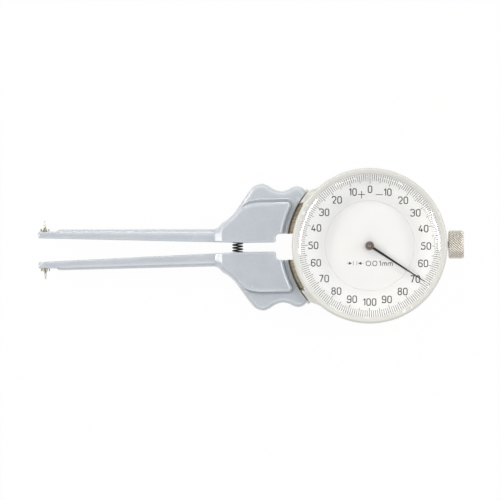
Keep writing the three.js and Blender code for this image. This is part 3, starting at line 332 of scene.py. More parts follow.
def filleted(points, radius, steps=5, closed=False):
    """The same line with its corners rounded as far as their sides allow."""
    points = [np.asarray(p, float) for p in points]
    count = len(points)
    radii = radius if hasattr(radius, "__len__") else [radius] * count
    made = []
    for i, point in enumerate(points):
        if not closed and i in (0, count - 1) or radii[i] == 0:
            made.append(point)
            continue
        before, after = points[i - 1] - point, points[(i + 1) % count] - point
        room = LARGEST_FILLET_SHARE * min(np.linalg.norm(before), np.linalg.norm(after))
        before, after = unit(before), unit(after)
        half = math.acos(max(-1, min(1, float(before @ after)))) / 2
        if half > math.pi / 2 - STRAIGHT_ANGLE:
            made.append(point)
            continue
        length = min(radii[i] / math.tan(half), room)
        r = length * math.tan(half)
        middle = point + unit(before + after) * (r / math.sin(half))
        first, last = point + before * length - middle, point + after * length - middle
        sweep = math.atan2(first[0] * last[1] - first[1] * last[0], float(first @ last))
        start = math.atan2(first[1], first[0])
        made += [middle + polar(r, start + sweep * k / steps) for k in range(steps + 1)]
    return made


def resampled(line, spacing):
    line = np.array(line, float)
    lengths = np.linalg.norm(np.diff(line, axis=0), axis=1)
    along = np.concatenate([[0], np.cumsum(lengths)])
    places = np.linspace(0, along[-1], max(2, round(along[-1] / spacing) + 1))
    return np.stack([np.interp(places, along, line[:, k]) for k in (0, 1)], axis=1)


def distances(points, line):
    """Least distance from each point to a line of points."""
    a, b = line[:-1], line[1:]
    ab = b - a
    span = np.maximum((ab**2).sum(1), TINY)
    found = np.empty(len(points))
    for start in range(0, len(points), BATCH):
        p = points[start : start + BATCH, None, :]
        t = np.clip(((p - a) * ab).sum(2) / span, 0, 1)
        gap = p - (a + t[..., None] * ab)
        found[start : start + BATCH] = np.sqrt((gap**2).sum(2).min(1))
    return found


def inside(points, polygon):
    a = np.array(polygon, float)
    b = np.roll(a, -1, axis=0)
    x, y = points[:, :1], points[:, 1:]
    crosses = (a[:, 1] > y) != (b[:, 1] > y)
    rise = np.where(b[:, 1] == a[:, 1], TINY, b[:, 1] - a[:, 1])
    edge_x = a[:, 0] + (y - a[:, 1]) / rise * (b[:, 0] - a[:, 0])
    return (crosses & (x < edge_x)).sum(1) % 2 == 1


def signed_area(outline):
    """Twice the area inside an outline, positive if it runs anticlockwise."""
    return sum(a[0] * b[1] - b[0] * a[1] for a, b in zip(outline, outline[1:] + outline[:1]))


def smooth_step(value):
    value = np.clip(value, 0, 1)
    return value * value * (3 - 2 * value)


# Meshes and pieces: a shape is its points, in millimetres, and its faces

def plain_object(name, shape):
    points, faces = shape
    mesh = bpy.data.meshes.new(name)
    mesh.from_pydata([tuple(float(x) * MM for x in p) for p in points], [], faces)
    mesh.update()
    made = bpy.data.objects.new(name, mesh)
    bpy.context.scene.collection.objects.link(made)
    return made


def taken_shape(piece):
    """The shape of a piece, which is removed."""
    points = [tuple(x / MM for x in vertex.co) for vertex in piece.data.vertices]
    faces = [tuple(face.vertices) for face in piece.data.polygons]
    bpy.data.objects.remove(piece)
    return points, faces


def dress(piece, body, slot, replaced=(), sharp=SHARP_ANGLE, look=None):
    """Shading, look and body of a piece, which takes the look of its slot unless told otherwise."""
    piece.data.shade_smooth()
    piece.data.set_sharp_from_angle(angle=math.radians(sharp))
    piece.data.materials.clear()
    piece.data.materials.append(finish[look or slot])
    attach(piece, body)
    if replaced:
        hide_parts(*replaced)


def mesh_piece(name, shape, *looks, **more_looks):
    dress(plain_object(name, shape), *looks, **more_looks)


def joined(*shapes):
    points, faces = [], []
    for more_points, more_faces in shapes:
        start = len(points)
        points += list(more_points)
        faces += [tuple(start + i for i in f) for f in more_faces]
    return points, faces


def changed(shape, change):
    points, faces = shape
    return [change(*p) for p in points], faces


def moved(shape, x=0, y=0, z=0):
    return changed(shape, lambda a, b, c: (a + x, b + y, c + z))


def turned_by(shape, angle):
    c, s = math.cos(angle), math.sin(angle)
    return changed(shape, lambda x, y, z: (x * c - y * s, x * s + y * c, z))


def mirrored(shape):
    points, faces = changed(shape, lambda x, y, z: (x, -y, z))
    return points, [tuple(reversed(f)) for f in faces]


def along_x(shape, level):
    """Turns a shape made about Z so that its axis lies along X at a level."""
    return changed(shape, lambda x, y, z: (z, x, y + level))


def along_y(shape):
    return changed(shape, lambda x, y, z: (y, z, x))


def revolved(profile, steps, radius_at=None):
    """A profile of (radius, level) turned about Z: closed on itself, or from axis to axis."""
    profile = [(float(r), float(z)) for r, z in profile]
    has_poles = profile[0][0] == 0 and profile[-1][0] == 0
    points, rings = [], []
    for radius, level in profile:
        start = len(points)
        if radius == 0 and has_poles:
            points.append((0, 0, level))
        else:
            for k in range(steps):
                angle = TAU * k / steps
                r = radius_at(radius, level, angle) if radius_at else radius
                points.append((r * math.cos(angle), r * math.sin(angle), level))
        rings.append(range(start, len(points)))
    pairs = list(zip(rings, rings[1:]))
    if not has_poles:
        pairs.append((rings[-1], rings[0]))
    faces = []
    for low, high in pairs:
        for k in range(steps):
            n = (k + 1) % steps
            if len(low) == 1:
                faces.append((low[0], high[n], high[k]))
            elif len(high) == 1:
                faces.append((low[k], low[n], high[0]))
            else:
                faces.append((low[k], low[n], high[n], high[k]))
    if signed_area(profile) < 0:
        faces = [tuple(reversed(f)) for f in faces]
    return points, faces


def prism(outline, low, high):
    """An outline given thickness, its ends as single faces."""
    outline = [tuple(p) for p in outline]
    if signed_area(outline) < 0:
        outline.reverse()
    count = len(outline)
    points = [(x, y, z) for z in (low, high) for x, y in outline]
    faces = [tuple(reversed(range(count))), tuple(range(count, 2 * count))]
    faces += [(k, (k + 1) % count, count + (k + 1) % count, count + k) for k in range(count)]
    return points, faces


def box(x0, x1, y0, y1, low, high):
    """A block between two places on each axis."""
    return prism([(x0, y0), (x1, y0), (x1, y1), (x0, y1)], low, high)


def rod(radius, low, high, steps):
    return revolved([(0, low), (radius, low), (radius, high), (0, high)], steps)


def ribbon(line, width, low, high, closed=False):
    """A flat band of one width along a line, as a closed solid."""
    line = [np.asarray(p, float) for p in line]
    count = len(line)
    points, faces = [], []
    for i, point in enumerate(line):
        legs = []
        if closed or i > 0:
            legs.append(unit(point - line[i - 1]))
        if closed or i < count - 1:
            legs.append(unit(line[(i + 1) % count] - point))
        way = unit(sum(legs))
        stretch = 1 / max(LEAST_MITRE, float(way @ legs[0]))
        side = np.array((-way[1], way[0])) * width / 2 * stretch
        left, right = point + side, point - side
        points += [(*left, high), (*right, high), (*right, low), (*left, low)]
    for i in range(count if closed else count - 1):
        a, b = 4 * i, 4 * ((i + 1) % count)
        for k in range(4):
            n = (k + 1) % 4
            faces.append((a + k, a + n, b + n, b + k))
    if not closed:
        last = 4 * (count - 1)
        faces += [(3, 2, 1, 0), (last, last + 1, last + 2, last + 3)]
    return points, faces


def tube(line, radius, sides):
    """A round wire along points in space, with flat ends."""
    line = [Vector(p) for p in line]
    up = Vector((0, 0, 1))
    points, faces = [], []
    for i, point in enumerate(line):
        way = (line[min(i + 1, len(line) - 1)] - line[max(i - 1, 0)]).normalized()
        side = way.cross(up if abs(way.z) < 0.99 else Vector((0, 1, 0))).normalized()
        if i and side.dot(last_side) < 0:
            side.negate()
        last_side = side
        other = way.cross(side)
        for k in range(sides):
            a = TAU * k / sides
            points.append(tuple(point + (side * math.cos(a) + other * math.sin(a)) * radius))
    for start in range(0, sides * (len(line) - 1), sides):
        for k in range(sides):
            n = (k + 1) % sides
            faces.append((start + k, start + n, start + sides + n, start + sides + k))
    faces.append(tuple(reversed(range(sides))))
    faces.append(tuple(range(len(points) - sides, len(points))))
    return points, faces


def carved(piece, operation, *shapes):
    """The piece's mesh joined with or cut by other closed shapes."""
    for shape in shapes:
        tool = plain_object("tool", shape)
        change = piece.modifiers.new("change", "BOOLEAN")
        change.operation = operation
        change.solver = "EXACT"
        change.object = tool
        graph = bpy.context.evaluated_depsgraph_get()
        made = bpy.data.meshes.new_from_object(piece.evaluated_get(graph))
        piece.modifiers.clear()
        old = piece.data
        piece.data = made
        bpy.data.meshes.remove(old)
        bpy.data.objects.remove(tool)


# Finishes

def linear(hex_colour):
    """A colour as it is written in sRGB, as linear values."""
    parts = [int(hex_colour[i : i + 2], 16) / 255 for i in (0, 2, 4)]
    return (*[c / 12.92 if c <= 0.04045 else ((c + 0.055) / 1.055) ** 2.4 for c in parts], 1)


def scaled(tone, share):
    return (*[min(1, part * share) for part in tone[:3]], 1)


class Nodes:
    """Short names for the node calls that a material or the world makes."""

    def __init__(self, name, kind="materials"):
        self.owner = getattr(bpy.data, kind).new(name)
        self.owner.use_nodes = True
        self.tree = self.owner.node_tree
        self.shader = self.tree.nodes.get("Principled BSDF")
        self.output = next(n for n in self.tree.nodes if n.type.startswith("OUTPUT"))

    def add(self, kind, inputs=(), **settings):
        node = self.tree.nodes.new(kind)
        for key, value in settings.items():
            setattr(node, key, value)
        for key, value in dict(inputs).items():
            self.put(node.inputs[key], value)
        return node

    def put(self, socket, value):
        """Gives a socket a link or a value, and a colour as it is written in sRGB."""
        if isinstance(value, bpy.types.NodeSocket):
            self.tree.links.new(value, socket)
        else:
            socket.default_value = linear(value) if isinstance(value, str) else value

    def surface(self, **values):
        """Gives the shader its inputs, with _ for a space in their names."""
        for name, value in values.items():
            self.put(self.shader.inputs[name.replace("_", " ")], value)
        return self.owner

    def blend(self, factor, a, b):
        """Makes a mix of two shaders the surface."""
        mixed = self.add("ShaderNodeMixShader", {0: factor, 1: a.outputs[0], 2: b.outputs[0]})
        self.put(self.output.inputs["Surface"], mixed.outputs[0])
        return self.owner

    def place(self, kind="Object"):
        return self.add("ShaderNodeTexCoord").outputs[kind]

    def part(self, vector, k):
        return self.add("ShaderNodeSeparateXYZ", {0: vector}).outputs[k]

    def noise(self, place, size, detail=2.0, stretch=None):
        """Noise with features of a size in millimetres, from 0 to 1."""
        if stretch:
            place = self.add("ShaderNodeMapping", {"Vector": place, "Scale": stretch}).outputs[0]
        settings = {"Vector": place, "Scale": 1 / (size * MM), "Detail": detail}
        return self.add("ShaderNodeTexNoise", settings).outputs["Fac"]

    def ranged(self, value, low, high, from_low=0.0, from_high=1.0):
        settings = {"Value": value, "From Min": from_low, "From Max": from_high,
                    "To Min": low, "To Max": high}
        return self.add("ShaderNodeMapRange", settings).outputs["Result"]

    def edges(self, from_low, from_high, most=1):
        """Rises to its most on the edges that stand out."""
        pointed = self.add("ShaderNodeNewGeometry").outputs["Pointiness"]
        return self.ranged(pointed, 0, most, from_low, from_high)

    def math(self, operation, a, b=0.0):
        return self.add("ShaderNodeMath", {0: a, 1: b}, operation=operation).outputs[0]

    def mix(self, factor, a, b):
        # A colour mix has its colours at inputs 6 and 7, and gives them at output 2
        node = self.add("ShaderNodeMix", {}, data_type="RGBA")
        for key, value in (("Factor", factor), (6, a), (7, b)):
            self.put(node.inputs[key], value)
        return node.outputs[2]

    def bump(self, height, depth, normal=None):
        """A bump of a depth in millimetres."""
        settings = {"Height": height, "Distance": depth * MM, "Strength": 1.0}
        if normal:
            settings["Normal"] = normal
        return self.add("ShaderNodeBump", settings).outputs["Normal"]

    def radius(self, place):
        """A vector of the distance from the Z axis, along X, and the level, along Z."""
        parts = self.add("ShaderNodeSeparateXYZ", {0: place}).outputs
        flat = self.add("ShaderNodeCombineXYZ", {0: parts[0], 1: parts[1]}).outputs[0]
        length = self.add("ShaderNodeVectorMath", {0: flat}, operation="LENGTH").outputs["Value"]
        return self.add("ShaderNodeCombineXYZ", {0: length, 2: parts[2]}).outputs[0]


def worn_metal(name, colour, roughness, metallic, spread, grain=0.3, depth=0.004, turned=False,
               stretch=None):
    """A metal with fine grain, a cloudy tone and paler edges."""
    n = Nodes(name)
    place = n.place()
    fine = n.noise(n.radius(place) if turned else place, grain, 2.0, stretch)
    mottle = n.ranged(n.math("ADD", fine, n.noise(place, CLOUD_SIZE)), 0, 1, 0.7, 1.3)
    tone = linear(colour)
    base = n.mix(mottle, scaled(tone, 1 - spread), scaled(tone, 1 + spread))
    return n.surface(
        Base_Color=n.mix(n.edges(0.52, 0.62), base, scaled(tone, EDGE_LIGHT)),
        Roughness=n.ranged(fine, roughness - 0.06, roughness + 0.06, 0.3, 0.7),
        Metallic=metallic, Normal=n.bump(fine, depth))


def cast_paint():
    """Blue-grey metallic paint on a casting: small flakes, a soft orange-peel skin."""
    n = Nodes("cast_paint")
    place = n.place()
    flakes = n.add("ShaderNodeTexVoronoi", {"Vector": place, "Scale": 1 / (FLAKE_SIZE * MM)})
    flake = n.add("ShaderNodeSeparateColor", {0: flakes.outputs["Color"]}).outputs[0]
    cloud = n.math("MULTIPLY", n.noise(place, 6.0, 3.0), 0.65)
    tone = n.mix(n.math("ADD", n.math("MULTIPLY", flake, 0.35), cloud), "B5BCC6", "CCD2D8")
    peel = n.bump(n.noise(place, 0.75), 0.006)
    # The rounded edges are painted paler, towards E9EAEA: a painted highlight along them
    return n.surface(
        Base_Color=n.mix(n.edges(0.51, 0.6, 0.5), tone, "E9EAEA"), Metallic=0.3,
        Roughness=n.ranged(flake, 0.3, 0.38), Coat_Weight=0.7, Coat_Roughness=0.16,
        Normal=n.bump(n.noise(place, 2.6), 0.02, peel))


def dial_paint():
    n = Nodes("dial_paint")
    place = n.place()
    fine = n.noise(place, 0.12)
    middle = n.mix(n.noise(place, 14.0), "E9E9EA", "EFEFEF")
    # Painted light: the dial turns paler from its middle to its edge, against the shade of the
    # bezel's wall
    ring = n.ranged(n.part(n.radius(place), 0), 0, 1, *DIAL_PALER_RADII)
    return n.surface(Base_Color=n.mix(ring, middle, "FBFBFB"),
                     Roughness=n.ranged(fine, 0.5, 0.62), Normal=n.bump(fine, 0.0015))


def ink(name, colour):
    n = Nodes(name)
    fine = n.noise(n.place(), 0.08)
    return n.surface(Base_Color=n.mix(fine, colour, scaled(linear(colour), 1.5)),
                     Roughness=n.ranged(fine, 0.45, 0.6), Specular_IOR_Level=0.2)


def crystal_plastic():
    n = Nodes("crystal")
    scuff = n.noise(n.place(), 5.0, 4.0)
    n.surface(Base_Color=(0.99, 0.99, 0.987, 1), Roughness=n.ranged(scuff, 0.0, 0.02, 0.45, 0.8),
              Transmission_Weight=1.0, IOR=1.49, Specular_IOR_Level=1.0)
    # Light passes straight through to the dial, which keeps the dial free of speckle
    rays = n.add("ShaderNodeLightPath").outputs
    straight = n.math("MAXIMUM", rays["Is Shadow Ray"], rays["Is Diffuse Ray"])
    # So does light that has been turned about inside the rim, which else ends black
    trapped = n.math("GREATER_THAN", rays["Ray Depth"], TRAPPED_DEPTH)
    straight = n.math("MAXIMUM", straight, trapped)
    return n.blend(straight, n.shader, n.add("ShaderNodeBsdfTransparent"))


def bronze():
    """Rolled bronze strip with lines across it, painted dark brown towards the grip as shade from
    the grip's edge.
    """
    n = Nodes("bronze")
    place = n.place()
    lines = n.noise(place, 0.34, 2.0, (0.2, 1, 1))
    blotch = n.noise(place, 1.6)
    streak = n.ranged(lines, 0, 0.8, 0.4, 0.62)
    tone = n.mix(streak, n.mix(blotch, "9A8870", "C8BAA2"), "DED4BF")
    out = n.part(n.radius(place), 0)
    # Painted shade: the strip turns dark brown towards the grip's edge, which shades it
    grip_side_shade = n.ranged(out, 0, 0.85, (GRIP_ARC - 0.85) * MM, (GRIP_ARC - 0.35) * MM)
    return n.surface(Base_Color=n.mix(grip_side_shade, tone, "54473B"), Metallic=0.75,
                     Roughness=n.ranged(blotch, 0.3, 0.5), Normal=n.bump(lines, 0.01))


def pin_steel():
    """Hardened pin: painted dark brown at its root as shade, and paler towards its tip as a painted
    highlight.
    """
    n = Nodes("pin_steel")
    place = n.place()
    # Painted shade at the root, by the collar, giving way to a painted highlight towards the tip
    shade_to_highlight = n.ranged(n.math("ABSOLUTE", n.part(place, 1)), 0, 1, 7.6 * MM, 9.2 * MM)
    grain = n.noise(place, 0.15)
    return n.surface(Base_Color=n.mix(shade_to_highlight, "5A4C41", "D6D3CB"), Metallic=0.9,
                     Roughness=n.ranged(grain, 0.26, 0.42, 0.3, 0.7), Normal=n.bump(grain, 0.002))


def knob_nickel():
    """Plated knurling, with painted shade in its grooves and a painted highlight on its points."""
    n = Nodes("knob_nickel")
    grain = n.noise(n.place(), 0.2)
    # Painted shade and highlight: dark in the grooves, pale on the points, by how far each stands
    # out
    tone = n.mix(n.edges(0.42, 0.54), "625850", "F2EDE5")
    return n.surface(
        Base_Color=n.mix(n.ranged(grain, 0, 0.2), tone, "D6D0C7"), Metallic=0.85,
        Roughness=n.ranged(grain, 0.3, 0.42, 0.3, 0.7), Normal=n.bump(grain, 0.003))


# Colour, roughness, metal share and spread of tone, then the grain's size and depth, whether it
# runs round the dial axis, and its stretch
METALS = {
    "satin_chrome": ("E8E7E2", 0.45, 0.45, 0.02, 0.12, 0.002, True),
    "bezel_chrome": ("D6D6D2", 0.5, 0.3, 0.02, 0.12, 0.002, True),
    "hub_metal": ("7C6F66", 0.3, 0.9, 0.1, 0.12, 0.002, True),
    "nickel": ("D8D2C9", 0.28, 1.0, 0.06),
    "steel": ("BDBAB4", 0.3, 1.0, 0.08, 0.15),
    "collar_steel": ("A39F90", 0.34, 0.9, 0.1, 0.15),
    "brass": ("C8A661", 0.32, 1.0, 0.08, 0.3, 0.004, False, (0.1, 1, 1)),
    "spring_steel": ("2A2A2E", 0.35, 0.9, 0.2, 0.1),
    "blue_steel": ("39425C", 0.3, 0.9, 0.15, 0.1),
}
INKS = {"black_paint": "121214", "gasket": "C9C9C2", "dial_ink": "3C3C3F"}

finish = {
    "cast_paint": cast_paint(), "pin_steel": pin_steel(), "knob_nickel": knob_nickel(),
    "bronze": bronze(), "dial_paint": dial_paint(), "crystal": crystal_plastic(),
    **{name: worn_metal(name, *settings) for name, settings in METALS.items()},
    **{name: ink(name, colour) for name, colour in INKS.items()},
}

# The first of these that a node's name holds says its slot
NODE_SLOTS = (
    ("_arm", "cast_paint"), ("lever_plate", "bronze"), ("spring_stud", "brass"),
    ("return_spring", "spring_steel"), ("case_body", "satin_chrome"), ("cover_screw", "steel"),
    ("back_cover", "satin_chrome"), ("bezel", "satin_chrome"), ("gasket", "gasket"),
    ("crystal", "crystal"), ("dial_plate", "dial_paint"), ("retaining_ring", "dial_paint"),
    ("bush", "nickel"), ("knob_stem", "steel"), ("knob", "nickel"), ("screw", "steel"),
    ("pin", "steel"), ("collar", "steel"), ("hub", "hub_metal"), ("needle", "black_paint"),
    ("pinion", "steel"), ("arbor", "steel"), ("hairspring_wheel", "brass"),
    ("hairspring", "blue_steel"), ("wheel", "brass"), ("plate", "brass"), ("pillar", "brass"),
    ("carrier", "brass"),
)


def dress_nodes():
    """Gives every node of the frame its finish."""
    for name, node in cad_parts.items():
        slot = next(slot for part, slot in NODE_SLOTS if part in name)
        node.data.materials.clear()
        node.data.materials.append(finish[slot])


# Arms

def inner_edge(reach):
    return ARM_GAP + np.maximum(0, np.asarray(reach) - TAPER_REACH) * math.tan(ARM_OPEN)


def outer_edge(reach):
    share = (np.asarray(reach) - GRIP_REACH) / (ARM_REACH - GRIP_REACH)
    return inner_edge(reach) + ARM_ROOT_WIDTH + (ARM_TIP_WIDTH - ARM_ROOT_WIDTH) * share


def grip_edge():
    """The wavy outer edge of the grip, from the slender arm to the corner beside the neck."""
    root = float(outer_edge(GRIP_REACH))
    rise = GRIP_HALF_WIDTH - root
    corner_reach = math.sqrt(GRIP_ARC**2 - (root + rise * GRIP_CORNER_SHARE) ** 2)
    length = GRIP_REACH - corner_reach
    shares = ((1, 0), *GRIP_EDGE_SHARES, (0, GRIP_CORNER_SHARE))
    return spline([at(corner_reach + length * a, root + rise * b) for a, b in shares], 10)


def arm_outline():
    """The outline in two runs: the well rounded outer edge and the crisp rest."""
    boss = ARM_REACH - BOSS_LENGTH
    tip = filleted(
        [
            at(ARM_REACH, inner_edge(ARM_REACH) + 1),
            at(ARM_REACH, outer_edge(ARM_REACH) - BOSS_STEP),
            at(boss, outer_edge(boss) - BOSS_STEP),
            at(boss - BOSS_STEP, outer_edge(boss - BOSS_STEP)),
            at(boss - 4, outer_edge(boss - 4)),
        ],
        [0, 0.8, 0.8, 1.2, 0],
    )
    slender = [at(r, outer_edge(r)) for r in np.arange(boss - 5, GRIP_REACH + 1, -1.5)]
    soft = [*tip, *slender, *grip_edge()]
    corner = math.pi - math.atan2(soft[-1][1], -soft[-1][0])
    relief = math.asin(RELIEF_OUT / GRIP_ARC)
    before_end = at(ARM_REACH - 2, inner_edge(ARM_REACH - 2))
    end = at(ARM_REACH, inner_edge(ARM_REACH))
    hard = [
        *arc((0, 0), GRIP_ARC, corner, math.pi - relief, 60),
        *arc(at(RELIEF_REACH - RELIEF_RADIUS, RELIEF_OUT - RELIEF_RADIUS), RELIEF_RADIUS,
             math.pi / 2, math.pi, 8),
        *arc(at(RELIEF_REACH + RELIEF_LIP, ARM_GAP + RELIEF_LIP), RELIEF_LIP, 0, -math.pi / 2, 8),
        at(TAPER_REACH, ARM_GAP),
        *filleted([before_end, end, soft[0]], 0.6),
    ]
    return resampled(soft, 0.35), resampled(hard, 0.35)


def panel_edge():
    """The raised panel's edge from the slender arm's root, round its corner, to the relief."""
    start = GRIP_REACH - RAMP_LENGTH + PANEL_BEVEL / 2
    root = float(outer_edge(GRIP_REACH))
    corner_angle = math.asin((PANEL_OUT - PANEL_CORNER) / (PANEL_ARC + PANEL_CORNER))
    corner = polar(PANEL_ARC + PANEL_CORNER, math.pi - corner_angle)
    length = start + corner[0]
    bends = [at(-corner[0] + a * length, b * PANEL_OUT) for a, b in PANEL_BEND_SHARES]
    first = [at(GRIP_REACH + 2, root + 0.2), at(start - PANEL_BEVEL / 2, root + PANEL_BEVEL * 1.6)]
    rise = spline([*first, *bends], 10)
    line = [
        *rise,
        *arc(corner, PANEL_CORNER, math.pi / 2, -corner_angle, 14),
        *arc((0, 0), PANEL_ARC, math.pi - corner_angle * 0.95, math.pi + 0.1, 40),
    ]
    return resampled(line, 0.3)


def offset_points(line, offset, outline):
    """Points beside a line at an offset, on its left, where no part of the line is nearer."""
    way = np.gradient(line, axis=0)
    way /= np.linalg.norm(way, axis=1)[:, None]
    left = np.stack([-way[:, 1], way[:, 0]], axis=1)
    offset = np.broadcast_to(offset, (len(line),))
    made = line + left * offset[:, None]
    near = distances(made, line)
    return made[(near > np.abs(offset) - OFFSET_SLACK) & inside(made, outline)]


def edge_round(reach):
    """Radius of the outer edge's rounding at a reach."""
    width = outer_edge(reach) - inner_edge(reach)
    thick = arm_top(reach) - arm_bottom(reach)
    of_width, of_thickness = SLENDER_ROUND_SHARES
    slender = np.minimum(width * of_width, thick * of_thickness)
    boss = smooth_step((reach - (ARM_REACH - BOSS_LENGTH - BOSS_STEP)) / BOSS_STEP)
    slender = slender + (BOSS_ROUND - slender) * boss
    start, length = ROUND_BLEND
    return GRIP_ROUND + (slender - GRIP_ROUND) * smooth_step((reach - start) / length)


def slender_share(reach):
    """How far along the slender arm a reach lies, from the ramp's foot to the boss."""
    ramp_foot = GRIP_REACH - PANEL_BEVEL / 2
    boss = ARM_REACH - BOSS_LENGTH - BOSS_STEP
    return np.clip((reach - ramp_foot) / (boss - ramp_foot), 0, 1)


def arm_top(reach):
    return GRIP_TOP + (ARM_MIDDLE + ARM_TIP_THICKNESS / 2 - GRIP_TOP) * slender_share(reach)


def arm_bottom(reach):
    root = GRIP_LOW + PANEL_BEVEL
    slender = root + (ARM_MIDDLE - ARM_TIP_THICKNESS / 2 - root) * slender_share(reach)
    return GRIP_LOW + (slender - GRIP_LOW) * smooth_step(reach - GRIP_REACH + 1)


def rounding(distance, radius):
    """How far a surface drops near an edge rounded to a radius."""
    near = np.clip(radius - distance, 0, radius)
    return radius - np.sqrt(np.maximum(radius**2 - near**2, 0))


def bump_row(distance, middle, half_width):
    share = np.clip(np.abs(distance - middle) / half_width, 0, 1)
    return 0.5 + 0.5 * np.cos(math.pi * share)


def panel_rise(points, edge, from_soft):
    """Height of the panel, its ramp, rim and groove over the grip's top face."""
    reach = -points[:, 0]
    region = [*edge, at(PANEL_ARC, -9), at(GRIP_REACH + 9, -9)]
    signed = distances(points, edge) * np.where(inside(points, region), 1, -1)
    ramp = (GRIP_REACH - PANEL_BEVEL / 2 - reach) / RAMP_LENGTH
    wide = smooth_step((reach - PANEL_ARC - PANEL_CORNER) / 3)
    share = np.clip(signed / (PANEL_EDGE + PANEL_SHOULDER * wide), 0, 1)
    bevel = np.interp(share, *zip(*PANEL_PROFILE))
    rise = PANEL_HEIGHT * np.minimum(np.clip(ramp, 0, 1), bevel)
    open_land = smooth_step((GRIP_REACH - 5 - reach) / 3) * smooth_step((from_soft - 0.5) / 1.3)
    rim = RIM_HEIGHT * bump_row(-signed, RIM_MIDDLE, RIM_HALF_WIDTH) * open_land
    groove = GROOVE_DEPTH * bump_row(-signed, GROOVE_MIDDLE, GROOVE_HALF_WIDTH) * open_land
    return rise + np.where(signed < 0, rim - groove, 0)


def arm_plan(soft, hard, edge):
    """Points of the arm's plan, denser where its surface bends, and their triangles."""
    outline = np.concatenate([soft[:-1], hard[:-1]])
    whole = np.concatenate([outline, outline[:1]])
    near_grip = edge[-edge[:, 0] < GRIP_REACH + 1]
    soft_round = edge_round(-soft[:, 0])
    runs = [(soft, -soft_round * (1 - math.cos(math.radians(a)))) for a in SOFT_ROW_ANGLES]
    runs += [(hard, -DRAFT - HARD_EDGE * (1 - math.cos(math.radians(a)))) for a in HARD_ROW_ANGLES]
    runs += [(near_grip, -offset) for offset in EDGE_ROWS]
    rows = [offset_points(line, offset, outline) for line, offset in runs]
    for share in RAMP_ROW_SHARES:
        reach = GRIP_REACH - PANEL_BEVEL / 2 - RAMP_LENGTH * share
        row = np.array([at(reach, out) for out in np.arange(0, PLAN_WIDTH, RAMP_SPACING)])
        rows.append(row[distances(row, hard) > DRAFT + HARD_EDGE])
    reaches = np.arange(PLAN_START, ARM_REACH, PLAN_SPACING)
    outs = np.arange(1, PLAN_WIDTH, PLAN_SPACING)
    grid = np.array([at(reach, out) for reach in reaches for out in outs])
    clear = (distances(grid, hard) > HARD_CLEARANCE) & (distances(grid, near_grip) > EDGE_CLEARANCE)
    rows.append(grid[clear & (distances(grid, soft) > edge_round(-grid[:, 0]) + SOFT_CLEARANCE)])
    inner = np.concatenate(rows)
    inner = inner[inside(inner, outline)]
    inner = inner[distances(inner, whole) > LEAST_SPACING / 2]
    tree = kdtree.KDTree(len(inner))
    for k, point in enumerate(inner):
        tree.insert((*point, 0), k)
    tree.balance()
    kept = np.ones(len(inner), bool)
    for k, point in enumerate(inner):
        if kept[k]:
            for _, other, _ in tree.find_range((*point, 0), LEAST_SPACING):
                if other > k:
                    kept[other] = False
    points = [Vector(p) for p in (*outline, *inner[kept])]
    count = len(outline)
    border = [(k, (k + 1) % count) for k in range(count)]
    made, _, faces, *_ = delaunay_2d_cdt(points, border, [], 1, 1e-7)
    return np.array([(p.x, p.y) for p in made]), [tuple(f) for f in faces]


def arm_shape():
    soft, hard = arm_outline()
    edge = panel_edge()
    plan, triangles = arm_plan(soft, hard, edge)
    reach = -plan[:, 0]
    radius = edge_round(reach)
    from_soft, from_hard = distances(plan, soft), distances(plan, hard)
    drop = rounding(from_soft, radius)
    crisp = rounding(from_hard - DRAFT, HARD_EDGE)
    thickness = arm_top(reach) - arm_bottom(reach)
    crisp += DRAFT_SHARE * thickness * np.clip(1 - from_hard / DRAFT, 0, 1)
    drop = np.minimum(drop + crisp, EDGE_DROP_SHARE * thickness)
    top = arm_top(reach) + panel_rise(plan, edge, from_soft) - drop
    bottom = arm_bottom(reach) + drop
    count = len(plan)
    points = [(*p, z) for p, z in zip(plan, top)] + [(*p, z) for p, z in zip(plan, bottom)]
    faces, sides = [], {}
    for a, b, c in triangles:
        if np.cross(plan[b] - plan[a], plan[c] - plan[a]) < 0:
            b, c = c, b
        faces += [(a, b, c), (count + c, count + b, count + a)]
        for pair in ((a, b), (b, c), (c, a)):
            sides[pair] = pair[::-1]
    for (a, b), back in sides.items():
        if back not in sides:
            faces.append((b, a, count + a, count + b))
    return points, faces


def tongue_pocket():
    """The pocket in the back of the grip that takes the lever plate's tongue."""
    grow = POCKET_PLAY
    return [
        at(PIVOT_REACH, RELIEF_OUT - grow),
        at(GRIP_ARC + 0.3, RELIEF_OUT - grow),
        at(GRIP_ARC + 0.3, RELIEF_OUT + RELIEF_RADIUS - grow),
        at(TONGUE_END + grow, RELIEF_OUT + 2 * RELIEF_RADIUS - grow),
        at(TONGUE_END + grow, TONGUE_OUT - 3 + grow),
        at(TONGUE_END - 3 + grow, TONGUE_OUT + grow),
        at(PIVOT_REACH, TONGUE_OUT + grow),
    ]


def make_arms():
    seat_radius, seat_depth = SPRING_SEAT
    seat = along_y(rod(seat_radius, -1, ARM_GAP + seat_depth, 48))
    casting = plain_object("arm_shape", arm_shape())
    carved(casting, "DIFFERENCE", prism(tongue_pocket(), GRIP_LOW - 1, LEVER_TOP),
           moved(seat, -SPRING_REACH, 0, ARM_MIDDLE))
    shape = taken_shape(casting)
    for side, placed in (("upper", shape), ("lower", mirrored(shape))):
        mesh_piece(f"{side}_arm_casting", placed, f"{side}_jaw", "cast_paint", [f"{side}_arm"], 38)


# Contact pins, collars, spring

